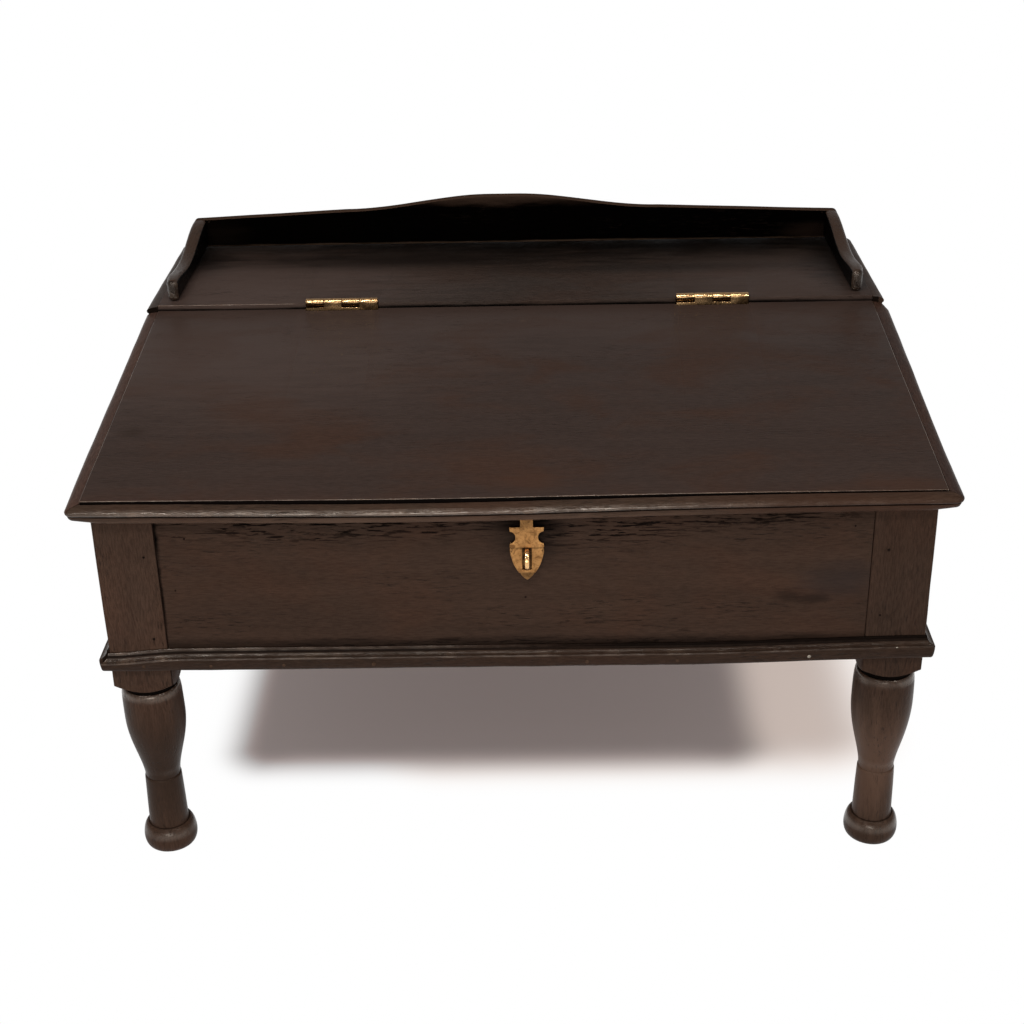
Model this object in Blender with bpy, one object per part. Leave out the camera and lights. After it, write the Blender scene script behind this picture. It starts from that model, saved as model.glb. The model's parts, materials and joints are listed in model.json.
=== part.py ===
# Lap desk: a low writing desk with a sloped lid, a gallery shelf and turned legs.
# Metres, +Z up, +X to the sitter's right, +Y away from the sitter.
# The origin lies on the floor, under the middle of the top.
import bpy
import bmesh
from math import cos, pi, radians, sin, tan
from mathutils import Matrix, Vector

# Joints of the joinery and the brass
FIT_GAP = 0.0003
LID_CLEARANCE = 0.0005

# Case
CASE_WIDTH = 0.620
CASE_DEPTH = 0.475
BOARD_THICKNESS = 0.016
PLANK_THICKNESS = 0.010
UNDER_CASE = 0.1797

# Top: a fixed shelf at the back and a sloped lid in front of it
SHELF_TOP = 0.3613
SHELF_THICKNESS = 0.0165
SIDE_OVERHANG = 0.015
REAR_OVERHANG = 0.012
NOSING_OVERHANG = 0.014
LID_RUN = 0.3091
LID_SLOPE = radians(5.9)
LID_THICKNESS = 0.014
LID_STEP = 0.0045
TOP_JOINT = 0.0008

# Moulded strip round the top: a rounded nose, a quirk and a cove under it
STRIP_WIDTH = 0.0100
STRIP_STEP = 0.0011
NOSE_HEIGHT = 0.0048
NOSE_SET = 0.0042
QUIRK_DEPTH = 0.0014
COVE_RUN = 0.0040

# Base moulding
BASE_HEIGHT = 0.0168
BASE_PROJECTION = 0.0074
BASE_NOSE_HEIGHT = 0.0110
BASE_FILLET = 0.0011

# Turned legs
LEG_SQUARE = 0.0455
TURNING_WASTE = 0.0003
POMMEL_TOP_DROP = 0.0162
POMMEL_HEIGHT = 0.0072
GROOVE_HEIGHT = 0.0034
GROOVE_RADIUS = 0.0198
SHOULDER_RADIUS = 0.0214
SWELL_DROP = 0.028
SWELL_RADIUS = 0.0237
NECK_RADIUS = 0.0141
RING_Z = 0.067
RING_RADIUS = 0.0147
RING_DEPTH = 0.0006
RING_HALF_WIDTH = 0.0010
ANKLE_Z = 0.0215
ANKLE_RADIUS = 0.0157
FOOT_RADIUS = 0.0214
FOOT_MIDDLE_Z = 0.0080
FOOT_BOTTOM_RADIUS = 0.0178
LEG_SIDES = 28

# Gallery round the shelf
GALLERY_THICKNESS = 0.0125
GALLERY_BACK_THICKNESS = 0.010
GALLERY_REAR_INSET = 0.0016
GALLERY_END_HEIGHT = 0.0270
CREST_SHOULDER_HEIGHT = 0.0335
CREST_HEIGHT = 0.0464
CREST_FLAT_HALF = 0.010
CREST_SHOULDER_HALF = 0.150
CREST_OFFSET = -0.012
BRACKET_SETBACK = 0.0095
BRACKET_NOSE_HEIGHT = 0.0190
BRACKET_NOSE_RADIUS = 0.0050
BRACKET_DIP_HEIGHT = 0.0144
BRACKET_DIP_RUN = 0.0625

# Butt hinges
HINGE_LEFT_X = -0.1517
HINGE_RIGHT_X = 0.1742
HINGE_LENGTH = 0.063
HINGE_KNUCKLES = 4
BARREL_RADIUS = 0.0035
HINGE_METAL = 0.0015
HINGE_LEAF_HEIGHT = 0.0105
HINGE_PIN_CLEARANCE = 0.0002
HINGE_AXIS_RISE = 0.001
KNUCKLE_GAP = 0.0003
ROLL_GAP = radians(18)
ROLL_STEPS = 14

# Hasp and staple
HASP_X = 0.0100
HASP_METAL = 0.0012
HASP_CLEARANCE = 0.0004
HASP_BARREL_RADIUS = 0.0028
HASP_LENGTH = 0.0475
TAB_WIDTH = 0.0094
EAR_DROP = 0.0097
EAR_HEIGHT = 0.0035
EAR_WIDTH = 0.0256
WAIST_WIDTH = 0.0166
WAIST_DROP = 0.0180
SHOULDER_DROP = 0.0260
NOTCH_DROP = 0.0289
NOTCH_WIDTH = 0.0214
SHIELD_WIDTH = 0.0238
SHIELD_END_WIDTH = 0.0122
SLOT_WIDTH = 0.0072
SLOT_TOP_DROP = 0.0266
SLOT_LENGTH = 0.0185
LEAF_WIDTH = 0.0200
LEAF_FOOT = 0.0056
STAPLE_PLATE_THICKNESS = 0.0012
STAPLE_PLATE_MARGIN = 0.0008
STAPLE_PLATE_TIP = 0.0069
STAPLE_WIDTH = 0.0034
STAPLE_METAL = 0.0026
STAPLE_REACH = 0.0118
STAPLE_END_GAP = 0.0004
STAPLE_STEPS = 14

# Places worked out from the sizes above
Y_FRONT = -(CASE_DEPTH + REAR_OVERHANG - NOSING_OVERHANG) / 2
Y_BACK = Y_FRONT + CASE_DEPTH
Y_SHELF_REAR = Y_BACK + REAR_OVERHANG
Y_HINGE = Y_FRONT + LID_RUN
X_CASE = CASE_WIDTH / 2
X_TOP = X_CASE + SIDE_OVERHANG
X_QUIRK = X_TOP - STRIP_WIDTH
LEG_X = X_CASE - LEG_SQUARE / 2
LEG_FRONT_Y = Y_FRONT + LEG_SQUARE / 2
LEG_REAR_Y = Y_BACK - LEG_SQUARE / 2
POMMEL_TOP = UNDER_CASE - POMMEL_TOP_DROP
GROOVE_TOP = POMMEL_TOP - POMMEL_HEIGHT
BOARD_BOTTOM = UNDER_CASE + PLANK_THICKNESS + FIT_GAP
SHELF_UNDER = SHELF_TOP - SHELF_THICKNESS
HINGE_LEAF_BOTTOM = -BARREL_RADIUS - HINGE_LEAF_HEIGHT
HINGE_AXIS = Vector((0, Y_HINGE, SHELF_TOP + HINGE_AXIS_RISE))
LID_TOP_BELOW_AXIS = (HINGE_AXIS_RISE + LID_STEP) * cos(LID_SLOPE)
NOSE_LEAN = (LID_TOP_BELOW_AXIS + NOSE_HEIGHT) * sin(LID_SLOPE)
LID_FRONT = (LID_RUN + NOSING_OVERHANG + NOSE_LEAN) / cos(LID_SLOPE)
STAPLE_PLATE_FACE = Y_FRONT - FIT_GAP - STAPLE_PLATE_THICKNESS
HASP_ROLL = HASP_BARREL_RADIUS - HASP_METAL / 2
HASP_PLANE_Y = STAPLE_PLATE_FACE - HASP_CLEARANCE - HASP_METAL / 2
HASP_AXIS_Y = HASP_PLANE_Y - HASP_ROLL


def lid_under(y):
    """Height of the lid's underside at a place along Y."""
    top_at_hinge = SHELF_TOP - LID_STEP
    return top_at_hinge - LID_THICKNESS / cos(LID_SLOPE) + (y - Y_HINGE) * tan(LID_SLOPE)


def case_top(y):
    """Height of the case's upper edge under the closed lid."""
    return lid_under(y) - LID_CLEARANCE


HASP_AXIS = Vector((HASP_X, HASP_AXIS_Y,
                    lid_under(HASP_AXIS_Y) - (FIT_GAP + HASP_BARREL_RADIUS) / cos(LID_SLOPE)))


def clear_scene():
    for old in list(bpy.data.objects):
        bpy.data.objects.remove(old, do_unlink=True)


def make_material(name, colour, roughness, metallic):
    material = bpy.data.materials.new(name)
    material.use_nodes = True
    shader = material.node_tree.nodes["Principled BSDF"]
    shader.inputs["Base Color"].default_value = (*colour, 1)
    shader.inputs["Roughness"].default_value = roughness
    shader.inputs["Metallic"].default_value = metallic
    material.diffuse_color = (*colour, 1)
    return material


def make_empty(name, matrix, parent=None):
    empty = bpy.data.objects.new(name, None)
    bpy.context.collection.objects.link(empty)
    empty.parent = parent
    empty.matrix_local = matrix
    return empty


def make_object(name, bm, finish, parent):
    """Turn a finished bmesh into a named object under an empty."""
    mesh = bpy.data.meshes.new(name)
    bm.to_mesh(mesh)
    bm.free()
    colour, roughness, metallic = finish
    mesh.materials.append(make_material(name, colour, roughness, metallic))
    mesh.shade_smooth()
    mesh.set_sharp_from_angle(angle=radians(32))
    made = bpy.data.objects.new(name, mesh)
    bpy.context.collection.objects.link(made)
    made.parent = parent
    return made


def make_cutter(name, bm, parent):
    """A helper shape that only cuts or trims another object."""
    cutter = make_object(name, bm, CUTTER_FINISH, parent)
    cutter.hide_render = True
    cutter.display_type = "WIRE"
    return cutter


def add_boolean(target, tool, operation):
    modifier = target.modifiers.new(tool.name, "BOOLEAN")
    modifier.operation = operation
    modifier.object = tool
    modifier.solver = "EXACT"


def add_solidify(target, thickness):
    modifier = target.modifiers.new("metal", "SOLIDIFY")
    modifier.thickness = thickness
    modifier.offset = 0
    modifier.use_even_offset = True
    modifier.use_quality_normals = True


def sweep(ring, end_of):
    """Extrude a closed ring of points, each one to its own end point."""
    bm = bmesh.new()
    face = bm.faces.new([bm.verts.new(point) for point in ring])
    extruded = bmesh.ops.extrude_face_region(bm, geom=[face], use_keep_orig=True)
    for item in extruded["geom"]:
        if isinstance(item, bmesh.types.BMVert):
            item.co = end_of(item.co)
    bmesh.ops.recalc_face_normals(bm, faces=bm.faces)
    return bm


def slab(ring, travel):
    """Extrude a flat outline by one straight vector."""
    return sweep(ring, lambda point: point + Vector(travel))


def box(low, high):
    x0, y0, z0 = low
    x1, y1, z1 = high
    return slab([(x0, y0, z0), (x1, y0, z0), (x1, y1, z0), (x0, y1, z0)], (0, 0, z1 - z0))


def cylinder(start, length, radius, sides):
    """A solid round bar along +X from a start point."""
    ring = []
    for step in range(sides):
        turn = 2 * pi * step / sides
        ring.append(Vector(start) + Vector((0, radius * cos(turn), radius * sin(turn))))
    return slab(ring, (length, 0, 0))


def arc(centre, radius, first, last, steps):
    """Points on an arc in a plane, both ends included; angles in degrees."""
    points = []
    for step in range(steps + 1):
        turn = radians(first + (last - first) * step / steps)
        points.append((centre[0] + radius * cos(turn), centre[1] + radius * sin(turn)))
    return points


def ogee(start, end, steps):
    """A smooth S between two points, level at both ends; the start is left out."""
    points = []
    for step in range(1, steps + 1):
        share = step / steps
        ease = (1 - cos(pi * share)) / 2
        points.append((start[0] + (end[0] - start[0]) * share,
                       start[1] + (end[1] - start[1]) * ease))
    return points


def quarter(start, end, steps, level_first):
    """A quarter of an ellipse from start to end; the start is left out."""
    points = []
    for step in range(1, steps + 1):
        turn = pi / 2 * step / steps
        along, rise = (sin(turn), 1 - cos(turn)) if level_first else (1 - cos(turn), sin(turn))
        points.append((start[0] + (end[0] - start[0]) * along,
                       start[1] + (end[1] - start[1]) * rise))
    return points


def strip_profile(thickness):
    """Moulding round the top: (out from the quirk, up from the top face), clockwise."""
    nose = (STRIP_WIDTH, -NOSE_HEIGHT)
    quirk = (STRIP_WIDTH - QUIRK_DEPTH, -NOSE_HEIGHT - NOSE_SET / 2)
    points = [(0, -thickness), (0, -STRIP_STEP)]
    points += quarter(points[-1], nose, 5, True)
    points += quarter(nose, quirk, 2, False)
    points += quarter(quirk, (STRIP_WIDTH - COVE_RUN, -thickness), 4, False)
    return points


def base_profile():
    """Base moulding: (out from the case face, up from its lower edge), clockwise."""
    arris = (BASE_PROJECTION - BASE_FILLET / 2, BASE_NOSE_HEIGHT)
    lower = (BASE_PROJECTION - BASE_FILLET * 2, 0)
    points = [(FIT_GAP, 0), (FIT_GAP, BASE_HEIGHT), (FIT_GAP + BASE_FILLET, BASE_HEIGHT)]
    points.append((FIT_GAP + BASE_FILLET, BASE_HEIGHT - BASE_FILLET))
    points += quarter(points[-1], arris, 4, False)
    points.append((BASE_PROJECTION, BASE_NOSE_HEIGHT - BASE_FILLET))
    points += quarter(points[-1], lower, 3, False)
    return points


def leg_profile():
    """Turned outline from the foot to above the pommel: (radius, height)."""
    corner_radius = LEG_SQUARE / 2 * 2 ** 0.5
    shoulder_z = GROOVE_TOP - GROOVE_HEIGHT
    swell_z = shoulder_z - SWELL_DROP
    neck_z = RING_Z + RING_HALF_WIDTH
    points = [(0, 0), (FOOT_BOTTOM_RADIUS, 0)]
    points += quarter(points[-1], (FOOT_RADIUS, FOOT_MIDDLE_Z), 4, True)
    points += quarter((FOOT_RADIUS, FOOT_MIDDLE_Z), (ANKLE_RADIUS, ANKLE_Z), 4, False)
    points.append((RING_RADIUS, RING_Z - RING_HALF_WIDTH))
    points.append((NECK_RADIUS - RING_DEPTH, RING_Z))
    points.append((NECK_RADIUS, neck_z))
    for step in range(1, 9):
        share = step / 8
        ease = sin(pi / 2 * share) ** 1.5
        points.append((NECK_RADIUS + (SWELL_RADIUS - NECK_RADIUS) * ease,
                       neck_z + (swell_z - neck_z) * share))
    points += quarter((SWELL_RADIUS, swell_z), (SHOULDER_RADIUS, shoulder_z), 4, False)
    points.append((GROOVE_RADIUS, shoulder_z + GROOVE_HEIGHT / 3))
    points.append((GROOVE_RADIUS, GROOVE_TOP))
    points += quarter(points[-1], (corner_radius + TURNING_WASTE, POMMEL_TOP), 4, True)
    points.append((corner_radius + TURNING_WASTE, SHELF_TOP))
    points.append((0, SHELF_TOP))
    return points


def post_trim(top_of):
    """What planing leaves of a leg: the post's square above the groove, all of the round below it."""
    half = LEG_SQUARE / 2
    wide = 2 * LEG_SQUARE
    bm = box((-wide, -wide, -wide), (wide, wide, GROOVE_TOP - GROOVE_HEIGHT / 3))
    bm.faces.ensure_lookup_table()
    upper = max(bm.faces, key=lambda face: face.calc_center_median().z)
    bmesh.ops.inset_region(bm, faces=[upper], thickness=wide - half, use_even_offset=True)
    post = bmesh.ops.extrude_face_region(bm, geom=[upper])
    bmesh.ops.delete(bm, geom=[upper], context="FACES_ONLY")
    for item in post["geom"]:
        if isinstance(item, bmesh.types.BMVert):
            item.co.z = top_of(item.co.y)
    bmesh.ops.recalc_face_normals(bm, faces=bm.faces)
    return bm


def make_leg(name, x, y, top_of, parent):
    """One leg: a turned shape whose upper part is planed to the square of its post."""
    bm = bmesh.new()
    verts = [bm.verts.new((radius, 0, z)) for radius, z in leg_profile()]
    edges = [bm.edges.new(pair) for pair in zip(verts, verts[1:])]
    bmesh.ops.spin(bm, geom=verts + edges, cent=(0, 0, 0), axis=(0, 0, 1), angle=2 * pi,
                   steps=LEG_SIDES, use_merge=True)
    bmesh.ops.remove_doubles(bm, verts=bm.verts, dist=0.00001)
    bmesh.ops.recalc_face_normals(bm, faces=bm.faces)
    leg = make_object(name, bm, DARK_WOOD, parent)
    leg.location = (x, y, 0)
    trim = make_cutter(name + "_trim", post_trim(lambda along: top_of(y + along)), parent)
    trim.location = (x, y, 0)
    add_boolean(leg, trim, "INTERSECT")


def make_legs(parent):
    def rear_top(_):
        return SHELF_UNDER - FIT_GAP

    for side, x in (("left", -LEG_X), ("right", LEG_X)):
        make_leg("front_" + side + "_leg", x, LEG_FRONT_Y, case_top, parent)
        make_leg("rear_" + side + "_leg", x, LEG_REAR_Y, rear_top, parent)


def make_case_boards(parent):
    x_inner = X_CASE - LEG_SQUARE - FIT_GAP
    width = 2 * x_inner
    front_in = Y_FRONT + BOARD_THICKNESS
    ring = [(-x_inner, Y_FRONT, BOARD_BOTTOM), (-x_inner, front_in, BOARD_BOTTOM)]
    ring += [(-x_inner, front_in, case_top(front_in)), (-x_inner, Y_FRONT, case_top(Y_FRONT))]
    make_object("front_board", slab(ring, (width, 0, 0)), DARK_WOOD, parent)

    back = box((-x_inner, Y_BACK - BOARD_THICKNESS, BOARD_BOTTOM),
               (x_inner, Y_BACK, SHELF_UNDER - FIT_GAP))
    make_object("back_board", back, DARK_WOOD, parent)

    y0 = Y_FRONT + LEG_SQUARE + FIT_GAP
    y1 = Y_BACK - LEG_SQUARE - FIT_GAP
    outline = [(y0, BOARD_BOTTOM), (y1, BOARD_BOTTOM), (y1, SHELF_UNDER - FIT_GAP)]
    outline += [(Y_HINGE, SHELF_UNDER - FIT_GAP), (Y_HINGE, case_top(Y_HINGE)), (y0, case_top(y0))]
    for name, x in (("left_side_board", -X_CASE), ("right_side_board", X_CASE - BOARD_THICKNESS)):
        ring = [(x, y, z) for y, z in outline]
        make_object(name, slab(ring, (BOARD_THICKNESS, 0, 0)), DARK_WOOD, parent)


def make_bottom_planks(parent):
    """Three planks under the boards; the outer two are notched round the posts."""
    names = ["front", "middle", "rear"]
    pitch = CASE_DEPTH / len(names)
    notch = LEG_SQUARE + FIT_GAP
    rise = (0, 0, PLANK_THICKNESS)
    for index, name in enumerate(names):
        low = Y_FRONT + pitch * index + (FIT_GAP if index else 0)
        high = Y_FRONT + pitch * (index + 1)
        ring = [(-X_CASE, low), (X_CASE, low), (X_CASE, high), (-X_CASE, high)]
        if name == "front":
            ring = [(-X_CASE + notch, low), (X_CASE - notch, low), (X_CASE - notch, low + notch),
                    (X_CASE, low + notch), (X_CASE, high), (-X_CASE, high),
                    (-X_CASE, low + notch), (-X_CASE + notch, low + notch)]
        if name == "rear":
            ring = [(-X_CASE, low), (X_CASE, low), (X_CASE, high - notch),
                    (X_CASE - notch, high - notch), (X_CASE - notch, high), (-X_CASE + notch, high),
                    (-X_CASE + notch, high - notch), (-X_CASE, high - notch)]
        plank = slab([(x, y, UNDER_CASE) for x, y in ring], rise)
        make_object("bottom_plank_" + name, plank, BARE_WOOD, parent)


def make_base_mouldings(parent):
    """Strips round the foot of the case, mitred at the front corners."""
    profile = base_profile()
    ring = [(-X_CASE - out + FIT_GAP, Y_FRONT - out, UNDER_CASE + up) for out, up in profile]
    front = sweep(ring, lambda point: Vector((-point.x, point.y, point.z)))
    make_object("base_front_moulding", front, DARK_WOOD, parent)
    for name, side in (("base_left_moulding", -1), ("base_right_moulding", 1)):
        ring = [(side * (X_CASE + out), Y_FRONT - out + FIT_GAP, UNDER_CASE + up) for out, up in profile]
        strip = sweep(ring, lambda point: Vector((point.x, Y_BACK, point.z)))
        make_object(name, strip, DARK_WOOD, parent)


def hinge_mortise(into):
    """Recess for one leaf and its half of the barrel, cut from the joint into the wood."""
    half = HINGE_LENGTH / 2 + FIT_GAP
    bottom = HINGE_LEAF_BOTTOM - FIT_GAP
    depth = BARREL_RADIUS + FIT_GAP
    y0, y1 = sorted((-into * TOP_JOINT, into * depth))
    return box((-half, y0, bottom), (half, y1, 2 * BARREL_RADIUS))


def make_shelf(parent):
    y0 = Y_HINGE + TOP_JOINT / 2
    x_board = X_QUIRK - FIT_GAP / 2
    board = box((-x_board, y0, SHELF_UNDER), (x_board, Y_SHELF_REAR, SHELF_TOP))
    shelf = make_object("top_shelf", board, DARK_WOOD, parent)
    for side, x in (("left", HINGE_LEFT_X), ("right", HINGE_RIGHT_X)):
        cutter = make_cutter(side + "_shelf_mortise", hinge_mortise(1), parent)
        cutter.location = (x, HINGE_AXIS.y, HINGE_AXIS.z)
        add_boolean(shelf, cutter, "DIFFERENCE")
    for name, side in (("shelf_left_moulding", -1), ("shelf_right_moulding", 1)):
        ring = [(side * (X_QUIRK + FIT_GAP / 2 + out), y0, SHELF_TOP + up)
                for out, up in strip_profile(SHELF_THICKNESS)]
        strip = slab(ring, (0, Y_SHELF_REAR - y0, 0))
        make_object(name, strip, DARK_WOOD, parent)


def crest_outline(x_end):
    """Upper edge of the gallery's back, from the right end to the left."""
    points = []
    for side in (1, -1):
        flat = CREST_OFFSET + side * CREST_FLAT_HALF
        shoulder = CREST_OFFSET + side * CREST_SHOULDER_HALF
        half = [(side * x_end, GALLERY_END_HEIGHT), (shoulder, CREST_SHOULDER_HEIGHT)]
        half += ogee(half[-1], (flat, CREST_HEIGHT), 12)
        points += half if side == 1 else half[::-1]
    return points


def bracket_outline(depth):
    """Upper edge of a gallery side, from its nose to the gallery's back."""
    radius = BRACKET_NOSE_RADIUS
    nose_centre = (radius, BRACKET_NOSE_HEIGHT - radius)
    points = [(0, 0)]
    points += arc(nose_centre, radius, 180, 90, 5)
    points += ogee(points[-1], (BRACKET_DIP_RUN, BRACKET_DIP_HEIGHT), 6)
    points += ogee(points[-1], (depth, GALLERY_END_HEIGHT), 9)
    points.append((depth, 0))
    return points


def make_gallery(parent):
    z = SHELF_TOP + FIT_GAP
    back_front = Y_SHELF_REAR - GALLERY_REAR_INSET - GALLERY_BACK_THICKNESS
    ring = [(-X_CASE, back_front, z), (X_CASE, back_front, z)]
    ring += [(x, back_front, z + up) for x, up in crest_outline(X_CASE)]
    back = slab(ring, (0, GALLERY_BACK_THICKNESS, 0))
    make_object("gallery_back", back, DARK_WOOD, parent)
    y0 = Y_HINGE + BRACKET_SETBACK
    depth = back_front - FIT_GAP - y0
    for name, x in (("gallery_left_side", -X_CASE), ("gallery_right_side", X_CASE - GALLERY_THICKNESS)):
        ring = [(x, y0 + along, z + up) for along, up in bracket_outline(depth)]
        make_object(name, slab(ring, (GALLERY_THICKNESS, 0, 0)), DARK_WOOD, parent)


def lid_rear(z):
    """Where the lid's rear edge lies in the lid's own flat frame: it is upright when closed."""
    return -TOP_JOINT / 2 / cos(LID_SLOPE) + z * tan(LID_SLOPE)


def make_lid(parent):
    """The lid in its own flat frame, with the hinge axis at the origin."""
    top = -LID_TOP_BELOW_AXIS
    under = top - LID_THICKNESS
    y_quirk = -LID_FRONT + STRIP_WIDTH
    x_board = X_QUIRK - FIT_GAP / 2
    outline = [(y_quirk + FIT_GAP / 2, under), (lid_rear(under), under)]
    outline += [(lid_rear(top), top), (y_quirk + FIT_GAP / 2, top)]
    ring = [(-x_board, y, z) for y, z in outline]
    board = make_object("lid_board", slab(ring, (2 * x_board, 0, 0)), DARK_WOOD, parent)
    for side, x in (("left", HINGE_LEFT_X), ("right", HINGE_RIGHT_X)):
        cutter = make_cutter(side + "_lid_mortise", hinge_mortise(-1), parent)
        cutter.location = (x, 0, 0)
        cutter.rotation_euler = (-LID_SLOPE, 0, 0)
        add_boolean(board, cutter, "DIFFERENCE")
    profile = strip_profile(LID_THICKNESS)
    ring = [(-X_QUIRK - out, y_quirk - FIT_GAP / 2 - out, top + up) for out, up in profile]
    front = sweep(ring, lambda point: Vector((-point.x, point.y, point.z)))
    make_object("lid_front_moulding", front, DARK_WOOD, parent)
    for name, side in (("lid_left_moulding", -1), ("lid_right_moulding", 1)):
        ring = [(side * (X_QUIRK + FIT_GAP / 2 + out), y_quirk + FIT_GAP - out, top + up)
                for out, up in profile]
        strip = sweep(ring, lambda point: Vector((point.x, lid_rear(point.z), point.z)))
        make_object(name, strip, DARK_WOOD, parent)


def roll_tabs(bm, edges, turn):
    """Roll the sheet's tab edges round a pin that lies on the X axis."""
    for edge in edges:
        bmesh.ops.spin(bm, geom=list(edge.verts) + [edge], cent=(0, 0, 0), axis=(1, 0, 0),
                       angle=turn, steps=ROLL_STEPS)
    bmesh.ops.recalc_face_normals(bm, faces=bm.faces)


def rolled_leaf(spans, half, plane_y, turn):
    """Mid-surface of a sheet leaf whose tabs, listed along X, are rolled round a pin at the origin."""
    bm = bmesh.new()
    stations = sorted({-half, half} | {x for span in spans for x in span})
    neck = -BARREL_RADIUS - FIT_GAP
    low = [bm.verts.new((x, plane_y, HINGE_LEAF_BOTTOM)) for x in stations]
    high = [bm.verts.new((x, plane_y, neck)) for x in stations]
    for index in range(len(stations) - 1):
        bm.faces.new((low[index], low[index + 1], high[index + 1], high[index]))
    tips = []
    for first, last in spans:
        left = high[stations.index(first)]
        right = high[stations.index(last)]
        pair = [bm.verts.new((x, plane_y, 0)) for x in (first, last)]
        bm.faces.new((left, right, pair[1], pair[0]))
        tips.append(bm.edges.get(pair))
    roll_tabs(bm, tips, turn)
    return bm


def make_hinges(desk, lid_upright):
    """Butt hinges: knuckles 1 and 3 on the shelf's leaf, 2 and 4 on the lid's."""
    knuckle = HINGE_LENGTH / HINGE_KNUCKLES
    roll = BARREL_RADIUS - HINGE_METAL / 2
    half = HINGE_LENGTH / 2
    turn = 1.5 * pi - ROLL_GAP
    for side, x in (("left", HINGE_LEFT_X), ("right", HINGE_RIGHT_X)):
        for first, owner, parent, way in ((0, "shelf", desk, 1), (1, "lid", lid_upright, -1)):
            spans = []
            for index in range(first, HINGE_KNUCKLES, 2):
                start = -half + knuckle * index
                left = start + (KNUCKLE_GAP / 2 if index else 0)
                right = start + knuckle - (KNUCKLE_GAP / 2 if index < HINGE_KNUCKLES - 1 else 0)
                spans.append((left, right))
            bm = rolled_leaf(spans, half, way * roll, way * turn)
            leaf = make_object(side + "_hinge_" + owner + "_leaf", bm, BRASS, parent)
            leaf.location = (x, 0, 0) if owner == "lid" else (x, HINGE_AXIS.y, HINGE_AXIS.z)
            add_solidify(leaf, HINGE_METAL)
        radius = BARREL_RADIUS - HINGE_METAL - HINGE_PIN_CLEARANCE
        pin = cylinder((-half, 0, 0), HINGE_LENGTH, radius, 16)
        pin_object = make_object(side + "_hinge_pin", pin, BRASS, desk)
        pin_object.location = (x, HINGE_AXIS.y, HINGE_AXIS.z)


def shield_curve(half_width, end_half, top, bottom, steps):
    """Side of the hasp's shield, drawing in faster towards its end: (half width, drop)."""
    points = []
    for step in range(steps + 1):
        share = step / steps
        points.append((half_width - (half_width - end_half) * share ** 2, top + (bottom - top) * share))
    return points


def hasp_outline():
    """Right half of the hasp's plate from its tab to its end: (half width, drop)."""
    ear = EAR_WIDTH / 2
    waist = (WAIST_WIDTH / 2, WAIST_DROP)
    ear_low = (ear - HASP_CLEARANCE, EAR_DROP + EAR_HEIGHT)
    shoulder_top = (ear - HASP_CLEARANCE, 2 * WAIST_DROP - EAR_DROP - EAR_HEIGHT)
    points = [(TAB_WIDTH / 2, 0), (TAB_WIDTH / 2, EAR_DROP), (ear, EAR_DROP), ear_low]
    points += quarter(ear_low, waist, 4, True)
    points += quarter(waist, shoulder_top, 4, False)
    points += [(ear, SHOULDER_DROP), (NOTCH_WIDTH / 2, NOTCH_DROP)]
    shield_top = NOTCH_DROP + (NOTCH_DROP - SHOULDER_DROP) / 2
    points += shield_curve(SHIELD_WIDTH / 2, SHIELD_END_WIDTH / 2, shield_top, HASP_LENGTH, 5)
    return points


def both_sides(half):
    """Close a half outline into a ring that is alike on both sides of X = 0."""
    return half + [(-width, drop) for width, drop in half[::-1] if width > 0]


def make_hasp(parent):
    """The swinging plate: its tab is rolled round the pin and its slot drops over the staple."""
    bm = bmesh.new()
    verts = [bm.verts.new((x, HASP_ROLL, -drop)) for x, drop in both_sides(hasp_outline())]
    bm.faces.new(verts)
    roll_tabs(bm, [bm.edges.get((verts[0], verts[-1]))], 1.5 * pi - ROLL_GAP)
    hasp = make_object("hasp", bm, BRASS, parent)
    add_solidify(hasp, HASP_METAL)
    slot = box((-SLOT_WIDTH / 2, HASP_ROLL - HASP_METAL, -SLOT_TOP_DROP - SLOT_LENGTH),
               (SLOT_WIDTH / 2, HASP_ROLL + HASP_METAL, -SLOT_TOP_DROP))
    add_boolean(hasp, make_cutter("hasp_slot", slot, parent), "DIFFERENCE")


def make_hasp_leaf(parent):
    """The foot under the nosing that carries the hasp, with a knuckle on each side of the tab."""
    tab = TAB_WIDTH / 2 + KNUCKLE_GAP
    stations = [-LEAF_WIDTH / 2, -tab, tab, LEAF_WIDTH / 2]
    foot_rear = -HASP_BARREL_RADIUS - FIT_GAP
    bm = bmesh.new()
    front = [bm.verts.new((x, -LEAF_FOOT, HASP_ROLL)) for x in stations]
    rear = [bm.verts.new((x, foot_rear, HASP_ROLL)) for x in stations]
    tips = []
    for index in range(3):
        bm.faces.new((front[index], front[index + 1], rear[index + 1], rear[index]))
        if index != 1:
            pair = [bm.verts.new((stations[index + shift], 0, HASP_ROLL)) for shift in (0, 1)]
            bm.faces.new((rear[index], rear[index + 1], pair[1], pair[0]))
            tips.append(bm.edges.get(pair))
    roll_tabs(bm, tips, -1.5 * pi + ROLL_GAP)
    leaf = make_object("hasp_leaf", bm, BRASS, parent)
    add_solidify(leaf, HASP_METAL)
    radius = HASP_BARREL_RADIUS - HASP_METAL - HINGE_PIN_CLEARANCE
    pin = cylinder((-LEAF_WIDTH / 2, 0, 0), LEAF_WIDTH, radius, 12)
    make_object("hasp_pin", pin, BRASS, parent)


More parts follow.
